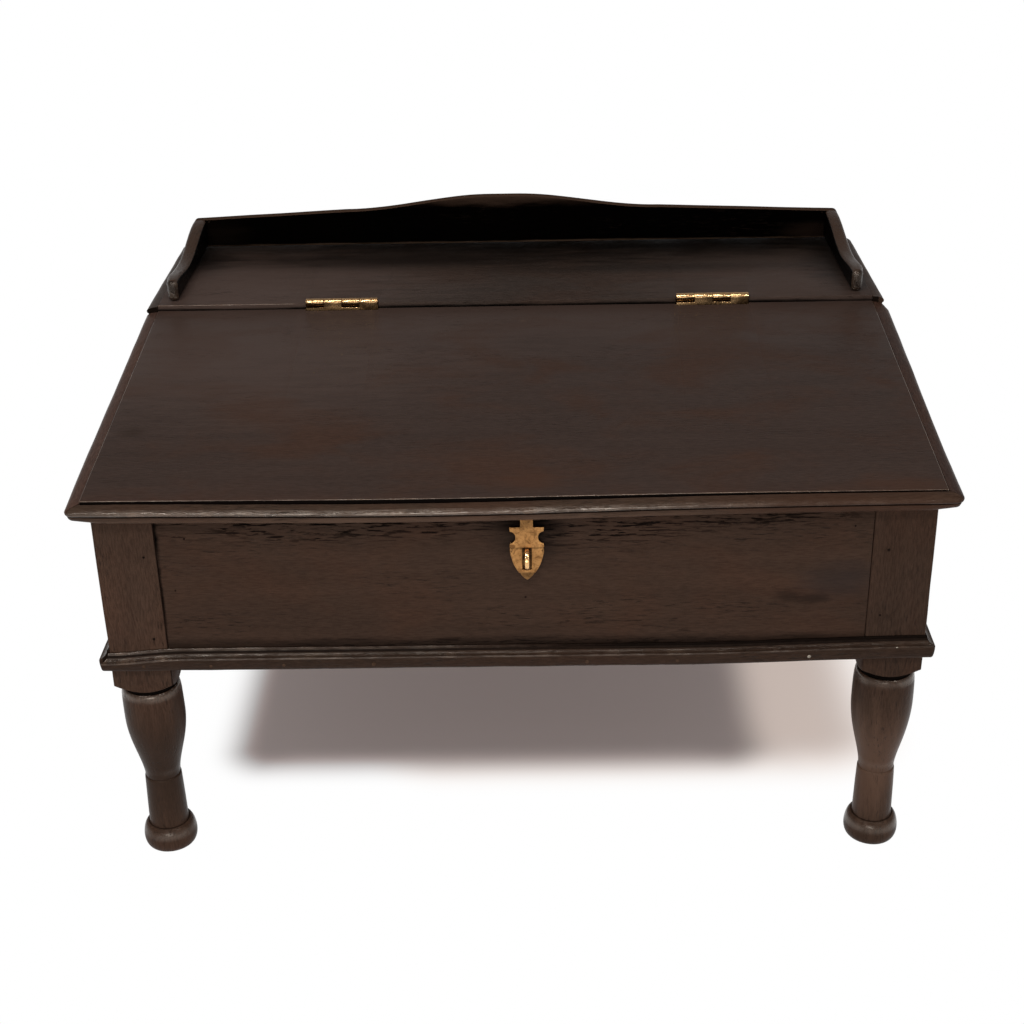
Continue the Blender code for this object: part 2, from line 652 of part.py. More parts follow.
def staple_outline(inset):
    """Half-ellipse of the staple, from its upper foot to its lower one: (out from the board, drop)."""
    middle = SLOT_TOP_DROP + SLOT_LENGTH / 2
    half = SLOT_LENGTH / 2 - STAPLE_END_GAP - inset
    straight = FIT_GAP + STAPLE_PLATE_THICKNESS
    reach = STAPLE_REACH - inset - straight
    points = [(FIT_GAP, middle - half)]
    for step in range(STAPLE_STEPS + 1):
        turn = pi * step / STAPLE_STEPS
        points.append((straight + reach * sin(turn), middle - half * cos(turn)))
    points.append((FIT_GAP, middle + half))
    return points


def make_staple(parent):
    """The staple and the shield-shaped plate it stands on, against the front board."""
    z = HASP_AXIS.z
    ring = staple_outline(0) + staple_outline(STAPLE_METAL)[::-1]
    x0 = HASP_X - STAPLE_WIDTH / 2
    bar = slab([(x0, Y_FRONT - out, z - drop) for out, drop in ring], (STAPLE_WIDTH, 0, 0))
    make_object("staple", bar, BRASS, parent)

    wide = SHIELD_WIDTH / 2 + STAPLE_PLATE_MARGIN
    narrow = SHIELD_END_WIDTH / 2 - STAPLE_PLATE_MARGIN
    half = [(wide - STAPLE_PLATE_MARGIN, SHOULDER_DROP)]
    half += shield_curve(wide, narrow, NOTCH_DROP, HASP_LENGTH, 5)
    half += shield_curve(narrow, 0, HASP_LENGTH, HASP_LENGTH + STAPLE_PLATE_TIP, 6)[1:]
    ring = [(HASP_X + x, STAPLE_PLATE_FACE, z - drop) for x, drop in both_sides(half)]
    plate = make_object("staple_plate", slab(ring, (0, STAPLE_PLATE_THICKNESS, 0)), BRASS, parent)
    grow = STAPLE_WIDTH / 2 + FIT_GAP
    legs = (SLOT_TOP_DROP + STAPLE_END_GAP, SLOT_TOP_DROP + SLOT_LENGTH - STAPLE_END_GAP - STAPLE_METAL)
    for name, top in zip(("upper", "lower"), legs):
        hole = box((HASP_X - grow, STAPLE_PLATE_FACE - FIT_GAP, z - top - STAPLE_METAL - FIT_GAP),
                   (HASP_X + grow, Y_FRONT, z - top + FIT_GAP))
        add_boolean(plate, make_cutter(name + "_staple_hole", hole, parent), "DIFFERENCE")


DARK_WOOD = ((0.030, 0.019, 0.013), 0.38, 0.0)
BARE_WOOD = ((0.070, 0.043, 0.026), 0.75, 0.0)
BRASS = ((0.52, 0.29, 0.09), 0.36, 1.0)
CUTTER_FINISH = ((0.5, 0.5, 0.5), 0.5, 0.0)


def main():
    clear_scene()
    desk = make_empty("desk_frame", Matrix.Identity(4))
    lid_matrix = Matrix.Translation(HINGE_AXIS) @ Matrix.Rotation(LID_SLOPE, 4, "X")
    lid_flat = make_empty("lid_frame", lid_matrix, desk)
    lid_upright = make_empty("lid_upright_frame", Matrix.Rotation(-LID_SLOPE, 4, "X"), lid_flat)
    make_legs(desk)
    make_case_boards(desk)
    make_bottom_planks(desk)
    make_base_mouldings(desk)
    make_shelf(desk)
    make_gallery(desk)
    make_lid(lid_flat)
    make_hinges(desk, lid_upright)
    hasp_place = Matrix.Translation(lid_matrix.inverted() @ HASP_AXIS)
    leaf_frame = make_empty("hasp_leaf_frame", hasp_place, lid_flat)
    hasp_frame = make_empty("hasp_frame", Matrix.Rotation(-LID_SLOPE, 4, "X"), leaf_frame)
    make_hasp_leaf(leaf_frame)
    make_hasp(hasp_frame)
    make_staple(desk)


main()
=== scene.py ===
# Lap desk, dressed: worn dark wood, aged brass, nails and screws, in soft studio light.
# Metres, +Z up, +X to the sitter's right. The camera stands where the photograph was taken from.
import json
from math import cos, exp, pi, radians, sin, tan

import bmesh
import bpy
from mathutils import Matrix, Vector, noise


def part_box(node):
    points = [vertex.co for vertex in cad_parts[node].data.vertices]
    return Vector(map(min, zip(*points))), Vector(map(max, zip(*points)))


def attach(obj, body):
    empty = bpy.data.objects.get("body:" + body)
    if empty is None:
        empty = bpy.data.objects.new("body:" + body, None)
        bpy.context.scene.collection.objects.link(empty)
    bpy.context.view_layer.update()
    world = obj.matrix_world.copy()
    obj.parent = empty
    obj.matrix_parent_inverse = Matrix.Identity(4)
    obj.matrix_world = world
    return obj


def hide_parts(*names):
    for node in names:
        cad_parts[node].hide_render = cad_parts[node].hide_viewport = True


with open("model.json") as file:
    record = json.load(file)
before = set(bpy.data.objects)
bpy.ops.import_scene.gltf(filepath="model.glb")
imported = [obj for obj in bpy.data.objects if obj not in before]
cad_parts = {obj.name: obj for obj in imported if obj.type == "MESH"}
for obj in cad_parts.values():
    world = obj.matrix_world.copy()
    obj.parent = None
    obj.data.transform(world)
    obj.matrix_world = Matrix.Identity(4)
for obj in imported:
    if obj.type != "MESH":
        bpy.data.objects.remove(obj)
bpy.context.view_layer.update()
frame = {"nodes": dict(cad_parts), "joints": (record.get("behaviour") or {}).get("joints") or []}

# View of the photograph: a square frame
FRAME_PIXELS = 1024
FOCAL_PIXELS = 1671.8
SENSOR_MM = 36
CAMERA_PLACE = Vector((0.0178, -1.3252, 0.8572))
CAMERA_YAW = radians(-0.96)
CAMERA_PITCH = radians(26.734)
CAMERA_ROLL = radians(-1.188)

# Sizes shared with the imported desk
FIT_GAP = 0.0003
LID_SLOPE = radians(5.9)
LID_THICKNESS = 0.014
SHELF_THICKNESS = 0.0165
STRIP_WIDTH = 0.0100
STRIP_STEP = 0.0011
STRIP_ARRIS = 0.0003
NOSE_HEIGHT = 0.0048
NOSE_SET = 0.0042
QUIRK_DEPTH = 0.0014
COVE_RUN = 0.0040
BASE_HEIGHT = 0.0168
BASE_PROJECTION = 0.0074
BASE_NOSE_HEIGHT = 0.0110
BASE_FILLET = 0.0011
LEG_SQUARE = 0.0455
TURNING_WASTE = 0.0003
POMMEL_TOP_DROP = 0.0162
POMMEL_HEIGHT = 0.0072
POMMEL_LEDGE = 0.0004
GROOVE_HEIGHT = 0.0034
GROOVE_RADIUS = 0.0198
SHOULDER_RADIUS = 0.0214
SWELL_DROP = 0.028
SWELL_RADIUS = 0.0237
NECK_RADIUS = 0.0141
SHOULDER_ROUND = 0.0045
RING_Z = 0.067
RING_RADIUS = 0.0147
RING_DEPTH = 0.0006
RING_HALF_WIDTH = 0.0010
ANKLE_Z = 0.0215
ANKLE_RADIUS = 0.0157
FOOT_RADIUS = 0.0214
FOOT_MIDDLE_Z = 0.0080
FOOT_BOTTOM_RADIUS = 0.0178
GALLERY_END_HEIGHT = 0.0270
CREST_SHOULDER_HEIGHT = 0.0335
CREST_HEIGHT = 0.0464
CREST_FLAT_HALF = 0.010
CREST_SHOULDER_HALF = 0.150
CREST_OFFSET = -0.012
BRACKET_NOSE_HEIGHT = 0.0190
BRACKET_NOSE_RADIUS = 0.0050
BRACKET_DIP_HEIGHT = 0.0144
BRACKET_DIP_RUN = 0.0625

# Places read from the frame
JOINT = {joint["name"]: joint for joint in frame["joints"]}
HINGE_AXIS = Vector(JOINT["lid_hinge"]["pos_m"])
HASP_AXIS = Vector(JOINT["hasp_swing"]["pos_m"])
LID_PLACE = Matrix.Translation(HINGE_AXIS) @ Matrix.Rotation(LID_SLOPE, 4, "X")
FRONT_BOARD_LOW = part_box("front_board")[0]
Y_FRONT = FRONT_BOARD_LOW.y
Y_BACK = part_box("back_board")[1].y
UNDER_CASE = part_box("bottom_plank_front")[0].z
SHELF_LOW, SHELF_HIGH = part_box("top_shelf")
SHELF_TOP = SHELF_HIGH.z
X_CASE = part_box("gallery_back")[1].x
X_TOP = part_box("shelf_right_moulding")[1].x
X_QUIRK = X_TOP - STRIP_WIDTH - FIT_GAP / 2
X_BASE = X_CASE + BASE_PROJECTION
Y_BASE = Y_FRONT - BASE_PROJECTION
POMMEL_TOP = UNDER_CASE - POMMEL_TOP_DROP
GROOVE_TOP = POMMEL_TOP - POMMEL_HEIGHT
SHOULDER_Z = GROOVE_TOP - GROOVE_HEIGHT

# Wear and tear, and painted shade
MERGE = 0.00001
ARRIS = 0.0007
SLICE = 0.012
CORNER_STEPS = 5
ARRIS_ANGLE = radians(30)
SMOOTH_ANGLE = radians(38)
PLANED_WAVE = (0.00016, 0.045)
TURNED_WAVE = (0.0004, 0.03)
STRIP_WAVE = (0.0003, 0.03)
GALLERY_WAVE = (0.0003, 0.04)
CORNER_DIP = 0.0034
CORNER_DIP_RUN = 0.055
BASE_CORNER = 0.003
BASE_RISE = 0.0038
BASE_RISE_FROM = 0.12
BASE_RUB_FROM = 0.15
BASE_RUB = (0.4, 0.9)
BASE_DIRT_FROM = 0.09
BASE_FILLET_DIRT = 0.85
# Painted shade in the base's cove, the quirk, the leg's groove and ankle, and the lid's gaps
BASE_COVE_SHADE = 0.7
QUIRK_SHADE = 0.85
GROOVE_SHADE = 0.95
ANKLE_SHADE = 0.6
LID_EDGE_SHADE = 0.95
NOSING_BACK_SHADE = 0.9
POST_RUB = 0.2
JOINT_DIRT = {"left": 0.7, "right": 0.2}
NOSE_RUB = 0.45
NOSE_RUB_FROM = 0.9
NOSE_FADE_FROM = 0.75
BRACKET_NOSE_BROWN = 0.3
LID_CORNER = 0.006
SHELF_CORNER = 0.0095
GALLERY_CORNER = 0.004
NOSE_TAPER = 0.0028
NOSE_TAPER_RUN = 0.022
REAR_CORNER_LOSS = 0.0026
REAR_CORNER_RUN = 0.014
SIDE_BOW = 0.0022
SIDE_BOW_RUN = 0.25
THIN_END_RUN = 0.026
THIN_END_SHARE = 0.4


# Mesh helpers

def quarter(start, end, steps, level_first):
    """A quarter of an ellipse from start to end; the start is left out."""
    points = []
    for step in range(1, steps + 1):
        turn = pi / 2 * step / steps
        along, rise = (sin(turn), 1 - cos(turn)) if level_first else (1 - cos(turn), sin(turn))
        points.append((start[0] + (end[0] - start[0]) * along,
                       start[1] + (end[1] - start[1]) * rise))
    return points


def ogee(start, end, steps):
    """A smooth S between two points, level at both ends; the start is left out."""
    points = []
    for step in range(1, steps + 1):
        share = step / steps
        ease = (1 - cos(pi * share)) / 2
        points.append((start[0] + (end[0] - start[0]) * share,
                       start[1] + (end[1] - start[1]) * ease))
    return points


def smooth_step(low, high, value):
    share = min(1, max(0, (value - low) / (high - low)))
    return share * share * (3 - 2 * share)


def new_mesh(source=None):
    """A bmesh with the layers of wear and painted shade that the materials read."""
    bm = bmesh.new()
    if source:
        bm.from_mesh(source)
    for name in ("rubbed", "grime_and_shade", "brown_side"):
        bm.faces.layers.float.new(name)
    bm.verts.layers.float.new("polished")
    return bm


def middle_of(node, height=0.0):
    """The middle of a CAD node in plan, at a height."""
    low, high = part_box(node)
    return Vector(((low.x + high.x) / 2, (low.y + high.y) / 2, height))


def move(bm, matrix):
    bmesh.ops.transform(bm, matrix=matrix, verts=bm.verts)


def cad_copy(node):
    """A CAD node's mesh with its loose triangles merged into whole faces."""
    bm = new_mesh(frame["nodes"][node].data)
    bmesh.ops.remove_doubles(bm, verts=bm.verts, dist=MERGE)
    bmesh.ops.dissolve_limit(bm, angle_limit=radians(1), verts=bm.verts, edges=bm.edges)
    return bm


def sweep(ring, end_of):
    """Extrude a closed ring of points, each one to its own end point."""
    bm = new_mesh()
    face = bm.faces.new([bm.verts.new(point) for point in ring])
    extruded = bmesh.ops.extrude_face_region(bm, geom=[face], use_keep_orig=True)
    for item in extruded["geom"]:
        if isinstance(item, bmesh.types.BMVert):
            item.co = end_of(item.co)
    bmesh.ops.recalc_face_normals(bm, faces=bm.faces)
    return bm


def slab(ring, travel):
    return sweep(ring, lambda point: point + Vector(travel))


def mark(bm, name, faces, value=1.0):
    """Write a wear value on some faces, for the materials to read."""
    layer = bm.faces.layers.float[name]
    for face in faces:
        face[layer] = value


def round_edges(bm, edges, width, segments):
    """Round some edges over, and return the new faces."""
    made = bmesh.ops.bevel(bm, geom=edges, offset=width, offset_type="OFFSET", segments=segments,
                           profile=0.5, affect="EDGES", clamp_overlap=True, material=-1)
    return made["faces"]


def soften(bm, width, segments=3, limit=ARRIS_ANGLE, share=1.0, behind=None):
    """Round the sharp edges, but for those behind a depth, and mark the new faces as rubbed."""
    edges = [edge for edge in bm.edges if edge.calc_face_angle(0) > limit]
    if behind is not None:
        edges = [edge for edge in edges if min(vert.co.y for vert in edge.verts) < behind]
    mark(bm, "rubbed", round_edges(bm, edges, width, segments), share)


def cut(bm, place, normal):
    whole = bm.verts[:] + bm.edges[:] + bm.faces[:]
    bmesh.ops.bisect_plane(bm, geom=whole, dist=MERGE, plane_co=place, plane_no=normal)


def slice_across(bm, axis, pitch=SLICE):
    """Cut a long piece into short lengths, so that it can be worn unevenly."""
    spread = [vert.co[axis] for vert in bm.verts]
    low, high = min(spread), max(spread)
    count = int((high - low) / pitch)
    normal = Vector((0, 0, 0))
    normal[axis] = 1
    for index in range(1, count):
        cut(bm, normal * (low + (high - low) * index / count), normal)


def wear(bm, wave=PLANED_WAVE, shift=0.0):
    """Move the surface in and out a little, as tools and long use leave it; wave is (depth, length)."""
    depth, length = wave
    away = Vector((shift, 0, 0))
    bm.normal_update()
    moves = [vert.normal * depth * noise.noise(vert.co / length + away) for vert in bm.verts]
    for vert, move in zip(bm.verts, moves):
        vert.co += move


def round_corner(bm, corner, way, radius):
    """Wear an upright corner round in plan; way holds the outward signs of its two sides."""
    for axis in (0, 1):
        normal = Vector((1 - axis, axis, 0))
        for step in range(CORNER_STEPS):
            place = corner[axis] - way[axis] * radius * (step + 0.5) / CORNER_STEPS
            cut(bm, normal * place, normal)
    for vert in bm.verts:
        beyond = [way[axis] * (vert.co[axis] - corner[axis]) + radius for axis in (0, 1)]
        if min(beyond) > 0:
            share = max(beyond) / Vector(beyond).length
            for axis in (0, 1):
                vert.co[axis] = corner[axis] + way[axis] * (beyond[axis] * share - radius)


def repeat(bm, places):
    """Copy a small fitting to each place and remove the pattern it was copied from."""
    pattern = bm.verts[:]
    whole = bm.verts[:] + bm.edges[:] + bm.faces[:]
    for place in places:
        made = bmesh.ops.duplicate(bm, geom=whole)["geom"]
        verts = [item for item in made if isinstance(item, bmesh.types.BMVert)]
        bmesh.ops.transform(bm, matrix=place, verts=verts)
    bmesh.ops.delete(bm, geom=pattern, context="VERTS")


def add_object(name, data):
    """Put a mesh, a lamp or a camera into the scene."""
    made = bpy.data.objects.new(name, data)
    bpy.context.collection.objects.link(made)
    return made


def add_mesh(name, bm, material):
    """Turn a bmesh into an object of one material."""
    mesh = bpy.data.meshes.new(name)
    bm.to_mesh(mesh)
    bm.free()
    mesh.materials.append(material)
    return add_object(name, mesh)


def piece(name, bm, body, slot, material, *nodes):
    """Turn a bmesh into a finished piece that moves with a body and stands for CAD nodes."""
    made = add_mesh(name, bm, material)
    made.data.shade_smooth()
    made.data.set_sharp_from_angle(angle=SMOOTH_ANGLE)
    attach(made, body)
    if nodes:
        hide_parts(*nodes)


# Shader helpers

class Tree:
    """A node tree with short calls that place nodes and join them."""

    def __init__(self, tree):
        self.tree = tree

    def node(self, kind, inputs=None, **settings):
        made = self.tree.nodes.new(kind)
        for name, value in settings.items():
            setattr(made, name, value)
        for name, value in (inputs or {}).items():
            self.feed(made.inputs[name], value)
        return made

    def join(self, start, end):
        self.tree.links.new(start, end)

    def feed(self, socket, value):
        """Join a socket to another one, or set its value."""
        if isinstance(value, bpy.types.NodeSocket):
            self.join(value, socket)
        else:
            socket.default_value = value

    def surface(self, shader):
        self.join(shader.outputs[0], self.tree.nodes["Material Output"].inputs["Surface"])

    def spot(self):
        return self.node("ShaderNodeTexCoord").outputs["Object"]

    def mark(self, name):
        """A wear value that was written on the mesh."""
        return self.node("ShaderNodeAttribute", attribute_name=name).outputs["Fac"]

    def vector(self, operation, *vectors):
        made = self.node("ShaderNodeVectorMath", dict(enumerate(vectors)), operation=operation)
        return made.outputs["Value" if operation == "LENGTH" else "Vector"]

    def math(self, operation, first, second=0.0):
        made = self.node("ShaderNodeMath", {0: first, 1: second}, operation=operation, use_clamp=True)
        return made.outputs[0]

    def times(self, first, second):
        return self.math("MULTIPLY", first, second)

    def less(self, first, second):
        return self.math("SUBTRACT", first, second)

    def remap(self, value, low, high, to_low=0.0, to_high=1.0):
        inputs = {"Value": value, "From Min": low, "From Max": high, "To Min": to_low, "To Max": to_high}
        return self.node("ShaderNodeMapRange", inputs, interpolation_type="SMOOTHSTEP").outputs[0]

    def mix(self, factor, first, second, blend="MIX"):
        made = self.node("ShaderNodeMix", {"Factor": factor}, data_type="RGBA", blend_type=blend)
        for socket, value in ((made.inputs[6], first), (made.inputs[7], second)):
            self.feed(socket, (*value, 1) if isinstance(value, tuple) else value)
        return made.outputs[2]

    def stretched(self, vector, scale):
        return self.node("ShaderNodeMapping", {"Vector": vector, "Scale": scale}).outputs[0]

    def noise(self, vector, scale, detail=3.0, roughness=0.55, distortion=0.0):
        inputs = {"Vector": vector, "Scale": scale, "Detail": detail, "Roughness": roughness,
                  "Distortion": distortion}
        return self.node("ShaderNodeTexNoise", inputs).outputs["Fac"]

    def group(self, shared, **inputs):
        made = self.node("ShaderNodeGroup")
        made.node_tree = shared
        for name, value in inputs.items():
            self.feed(made.inputs[name.title()], value)
        return made.outputs


def shared_effect(name, inputs, outputs):
    """An empty node group with named sockets, and its input and output nodes."""
    group = bpy.data.node_groups.new(name, "ShaderNodeTree")
    for label, kind, value in inputs:
        socket = group.interface.new_socket(label, in_out="INPUT", socket_type=kind)
        if value is not None:
            socket.default_value = value
    for label in outputs:
        group.interface.new_socket(label, in_out="OUTPUT", socket_type="NodeSocketFloat")
    tree = Tree(group)
    return group, tree, tree.node("NodeGroupInput").outputs, tree.node("NodeGroupOutput").inputs


VECTOR_INPUT = ("Vector", "NodeSocketVector", None)

# Figure of the wood: stretch along and across the grain, detail, roughness, distortion, and the
# low and high values that are spread to the full range
TIMBER_FIGURE = (("Streak", (5, 70, 70), 5.0, 0.6, 0.6, 0.30, 0.72),
                 ("Fibre", (130, 950, 950), 3.0, 0.65, 0.4, 0.36, 0.66),
                 ("Pores", (110, 850, 850), 2.0, 0.5, 0.2, 0.56, 0.72),
                 ("Tears", (60, 620, 620), 4.0, 0.65, 0.4, 0.52, 0.58),
                 ("Cloud", (9, 17, 17), 4.0, 0.6, 0.4, 0.40, 0.68))
PORE_GATHER = ((9, 34, 34), 3.0, 0.6, 0.0, 0.42, 0.66)
RAISED_GRAIN = (40, 900, 900)
RAGGED_EDGE = (22, 150, 150)

# Sizes of the other patterns, as repeats in a metre
RUBBED_PATCHES = 38.0
ORANGE_PEEL = 420.0
PITS = 60.0
PIT_CLUSTERS = 21.0
BRASS_BLOTCHES = 230.0
BRASS_SPECKS = 1500.0
BRASS_SKIN = 900.0


def drawn_out(tree, place, stretch, detail, roughness, distortion, low, high):
    """Noise drawn out along the grain."""
    value = tree.noise(tree.stretched(place, stretch), 1.0, detail, roughness, distortion)
    return tree.remap(value, low, high)


def make_timber():
    """Figure of the wood along local X: broad streaks, open pores and cloudy old polish."""
    names = [name for name, *drawing in TIMBER_FIGURE]
    group, tree, given, result = shared_effect("timber", [VECTOR_INPUT], names)
    for name, *drawing in TIMBER_FIGURE:
        value = drawn_out(tree, given["Vector"], *drawing)
        if name == "Pores":
            value = tree.times(value, drawn_out(tree, given["Vector"], *PORE_GATHER))
        tree.join(value, result[name])
    return group


def make_rubbing():
    """Where the finish is rubbed through: broken lines along the arrises and odd spots between."""
    inputs = [VECTOR_INPUT, ("Edge", "NodeSocketFloat", 0.0), ("Amount", "NodeSocketFloat", 0.5)]
    group, tree, given, result = shared_effect("rubbing", inputs, ["Mask", "Patches"])
    patches = tree.noise(given["Vector"], RUBBED_PATCHES, 5.0, 0.65, 0.5)
    tree.join(tree.remap(patches, 0.36, 0.60), result["Patches"])
    reach = tree.less(0.86, tree.times(given["Amount"], 0.5))
    broken = tree.times(tree.less(patches, tree.less(reach, 0.2)), 4.0)
    tree.join(tree.times(broken, given["Edge"]), result["Mask"])
    return group


def make_knocks():
    """Relief of an old surface: soft waviness, grain that stands proud, open pores and pits."""
    inputs = [VECTOR_INPUT, ("Pores", "NodeSocketFloat", 0.0)]
    group, tree, given, result = shared_effect("knocks", inputs, ["Height"])
    place = given["Vector"]
    peel = tree.noise(place, ORANGE_PEEL, 3.0, 0.6)
    grain = tree.noise(tree.stretched(place, RAISED_GRAIN), 1.0, 3.0, 0.6)
    spots = tree.node("ShaderNodeTexVoronoi", {"Vector": place, "Scale": PITS, "Randomness": 1.0})
    pits = tree.remap(spots.outputs["Distance"], 0.16, 0.05)
    pits = tree.times(pits, tree.remap(tree.noise(place, PIT_CLUSTERS, 1.0), 0.60, 0.70))
    height = tree.math("ADD", tree.times(peel, 0.30), tree.times(grain, 0.35))
    height = tree.less(tree.math("ADD", height, 0.3), tree.times(given["Pores"], 0.55))
    tree.join(tree.less(height, tree.times(pits, 0.3)), result["Height"])
    return group


def make_tarnish():
    """Aged brass: brown blotches, dark specks and a pitted skin."""
    group, tree, given, result = shared_effect("tarnish", [VECTOR_INPUT], ["Brown", "Specks", "Height"])
    place = given["Vector"]
    tree.join(tree.remap(tree.noise(place, BRASS_BLOTCHES, 5.0, 0.65, 0.8), 0.42, 0.70), result["Brown"])
    tree.join(tree.remap(tree.noise(place, BRASS_SPECKS, 3.0, 0.6), 0.56, 0.70), result["Specks"])
    tree.join(tree.noise(place, BRASS_SKIN, 4.0, 0.65), result["Height"])
    return group


def make_stain_and_shade():
    """A soft-edged patch round one place, broken up a little along the grain, for marks of the wood and for
    painted shade alike.
    """
    inputs = [VECTOR_INPUT, ("Grain", "NodeSocketVector", None), ("Centre", "NodeSocketVector", None),
              ("Size", "NodeSocketVector", (1, 1, 1))]
    group, tree, given, result = shared_effect("stain_and_shade", inputs, ["Mask"])
    away = tree.vector("SUBTRACT", given["Vector"], given["Centre"])
    away = tree.vector("LENGTH", tree.vector("DIVIDE", away, given["Size"]))
    ragged = tree.noise(tree.stretched(given["Grain"], RAGGED_EDGE), 1.0, 4.0, 0.6)
    reach = tree.node("ShaderNodeMath", {0: away, 1: ragged}, operation="ADD").outputs[0]
    tree.join(tree.remap(reach, 1.5, 0.6), result["Mask"])
    return group


TIMBER = make_timber()
RUBBING = make_rubbing()
KNOCKS = make_knocks()
TARNISH = make_tarnish()
STAIN_AND_SHADE = make_stain_and_shade()

# Colours of the finishes and of painted shade, as linear values
WOOD_BROWN = (0.0460, 0.0265, 0.0178)
LID_BROWN = (0.0470, 0.0300, 0.0240)
SHELF_BROWN = (0.0410, 0.0280, 0.0220)
TURNED_BROWN = (0.0440, 0.0255, 0.0172)
NOSING_BROWN = (0.0560, 0.0345, 0.0235)
SIDE_BROWN = (0.0580, 0.0320, 0.0240)
GALLERY_BLACK = (0.0008, 0.0006, 0.0005)
FIBRE_SHADE = (0.55, 0.53, 0.52)
OLD_RED = (0.0560, 0.0250, 0.0145)
PORE_BLACK = (0.0080, 0.0046, 0.0032)
# Black of soiling, and of painted shade in recesses and gaps
GRIME_AND_SHADE_BLACK = (0.0020, 0.0016, 0.0014)
SMOKE_BLACK = (0.0200, 0.0150, 0.0140)
RUBBED_WOOD = (0.1150, 0.0700, 0.0450)
PLANK_BROWN = (0.040, 0.024, 0.015)
PLANK_PALE = (0.105, 0.064, 0.038)
PLANK_GREY = (0.055, 0.040, 0.030)
PLANK_PORE = (0.015, 0.010, 0.007)
BRASS_SPECK = (0.07, 0.035, 0.014)
BRASS_DIRT_AND_SHADE = (0.012, 0.007, 0.004)
WAX_TINT = (1, 0.88, 0.76, 1)
PLAIN_TINT = (1, 1, 1, 1)

# Shares and levels of the finishes
POLISHED_SHEEN = 0.75
STREAK_SHADE = 0.4
RUB_SHARE = 0.8
HANDLED_LEAST = 0.5
GLOSS_SPREAD = (-0.04, 0.06)
PLANK_ROUGHNESS = (0.70, 0.85)
PLANK_RELIEF = 0.0006
PLANK_SHEEN = 0.30
PLANK_GREYING = 0.5
BRASS_BROWNING = 0.75
BRASS_SPECKLING = 0.6
BRASS_BRIGHTENING = 0.5
BRASS_DIRT_AND_SHADE_SHARE = 0.85
BRASS_ROUGHER = 0.22
RUST_SHADE = 0.5
IRON_ROUGHNESS = (0.45, 0.65)
IRON_RELIEF = 0.0003
GRAIN_TURN = {"x": (0, 0, 0), "y": (0, 0, radians(90)), "z": (0, radians(90), 0)}


def new_material(name):
    material = bpy.data.materials.new(name)
    material.use_nodes = True
    material.node_tree.nodes.remove(material.node_tree.nodes["Principled BSDF"])
    return material, Tree(material.node_tree)


def grain_place(tree, spot, grain, shift):
    """Object coordinates turned so that the grain runs along X, and moved to a new part of the log."""
    inputs = {"Vector": spot, "Rotation": GRAIN_TURN[grain], "Location": (shift, shift * 0.7, -shift * 0.4)}
    return tree.node("ShaderNodeMapping", inputs).outputs[0]


def finish_surface(tree, colour, roughness, height, relief, metallic, specular, tint=PLAIN_TINT):
    """Join colour, roughness and relief to the surface of a material."""
    bump = tree.node("ShaderNodeBump", {"Strength": 1.0, "Distance": relief, "Height": height})
    inputs = {"Base Color": colour, "Roughness": roughness, "Metallic": metallic,
              "Specular IOR Level": specular, "Specular Tint": tint, "Normal": bump.outputs[0]}
    tree.surface(tree.node("ShaderNodeBsdfPrincipled", inputs))


def dimmed(colour, share):
    return tuple(channel * share for channel in colour)


def stain_and_shade_mask(tree, spot, place, centre, size, *shares):
    """How strong a soft patch is at each point, for marks of the wood and for painted shade alike; place
    follows the grain.
    """
    mask = tree.group(STAIN_AND_SHADE, vector=spot, grain=place, centre=centre, size=size)["Mask"]
    for share in shares:
        mask = tree.times(mask, share)
    return mask


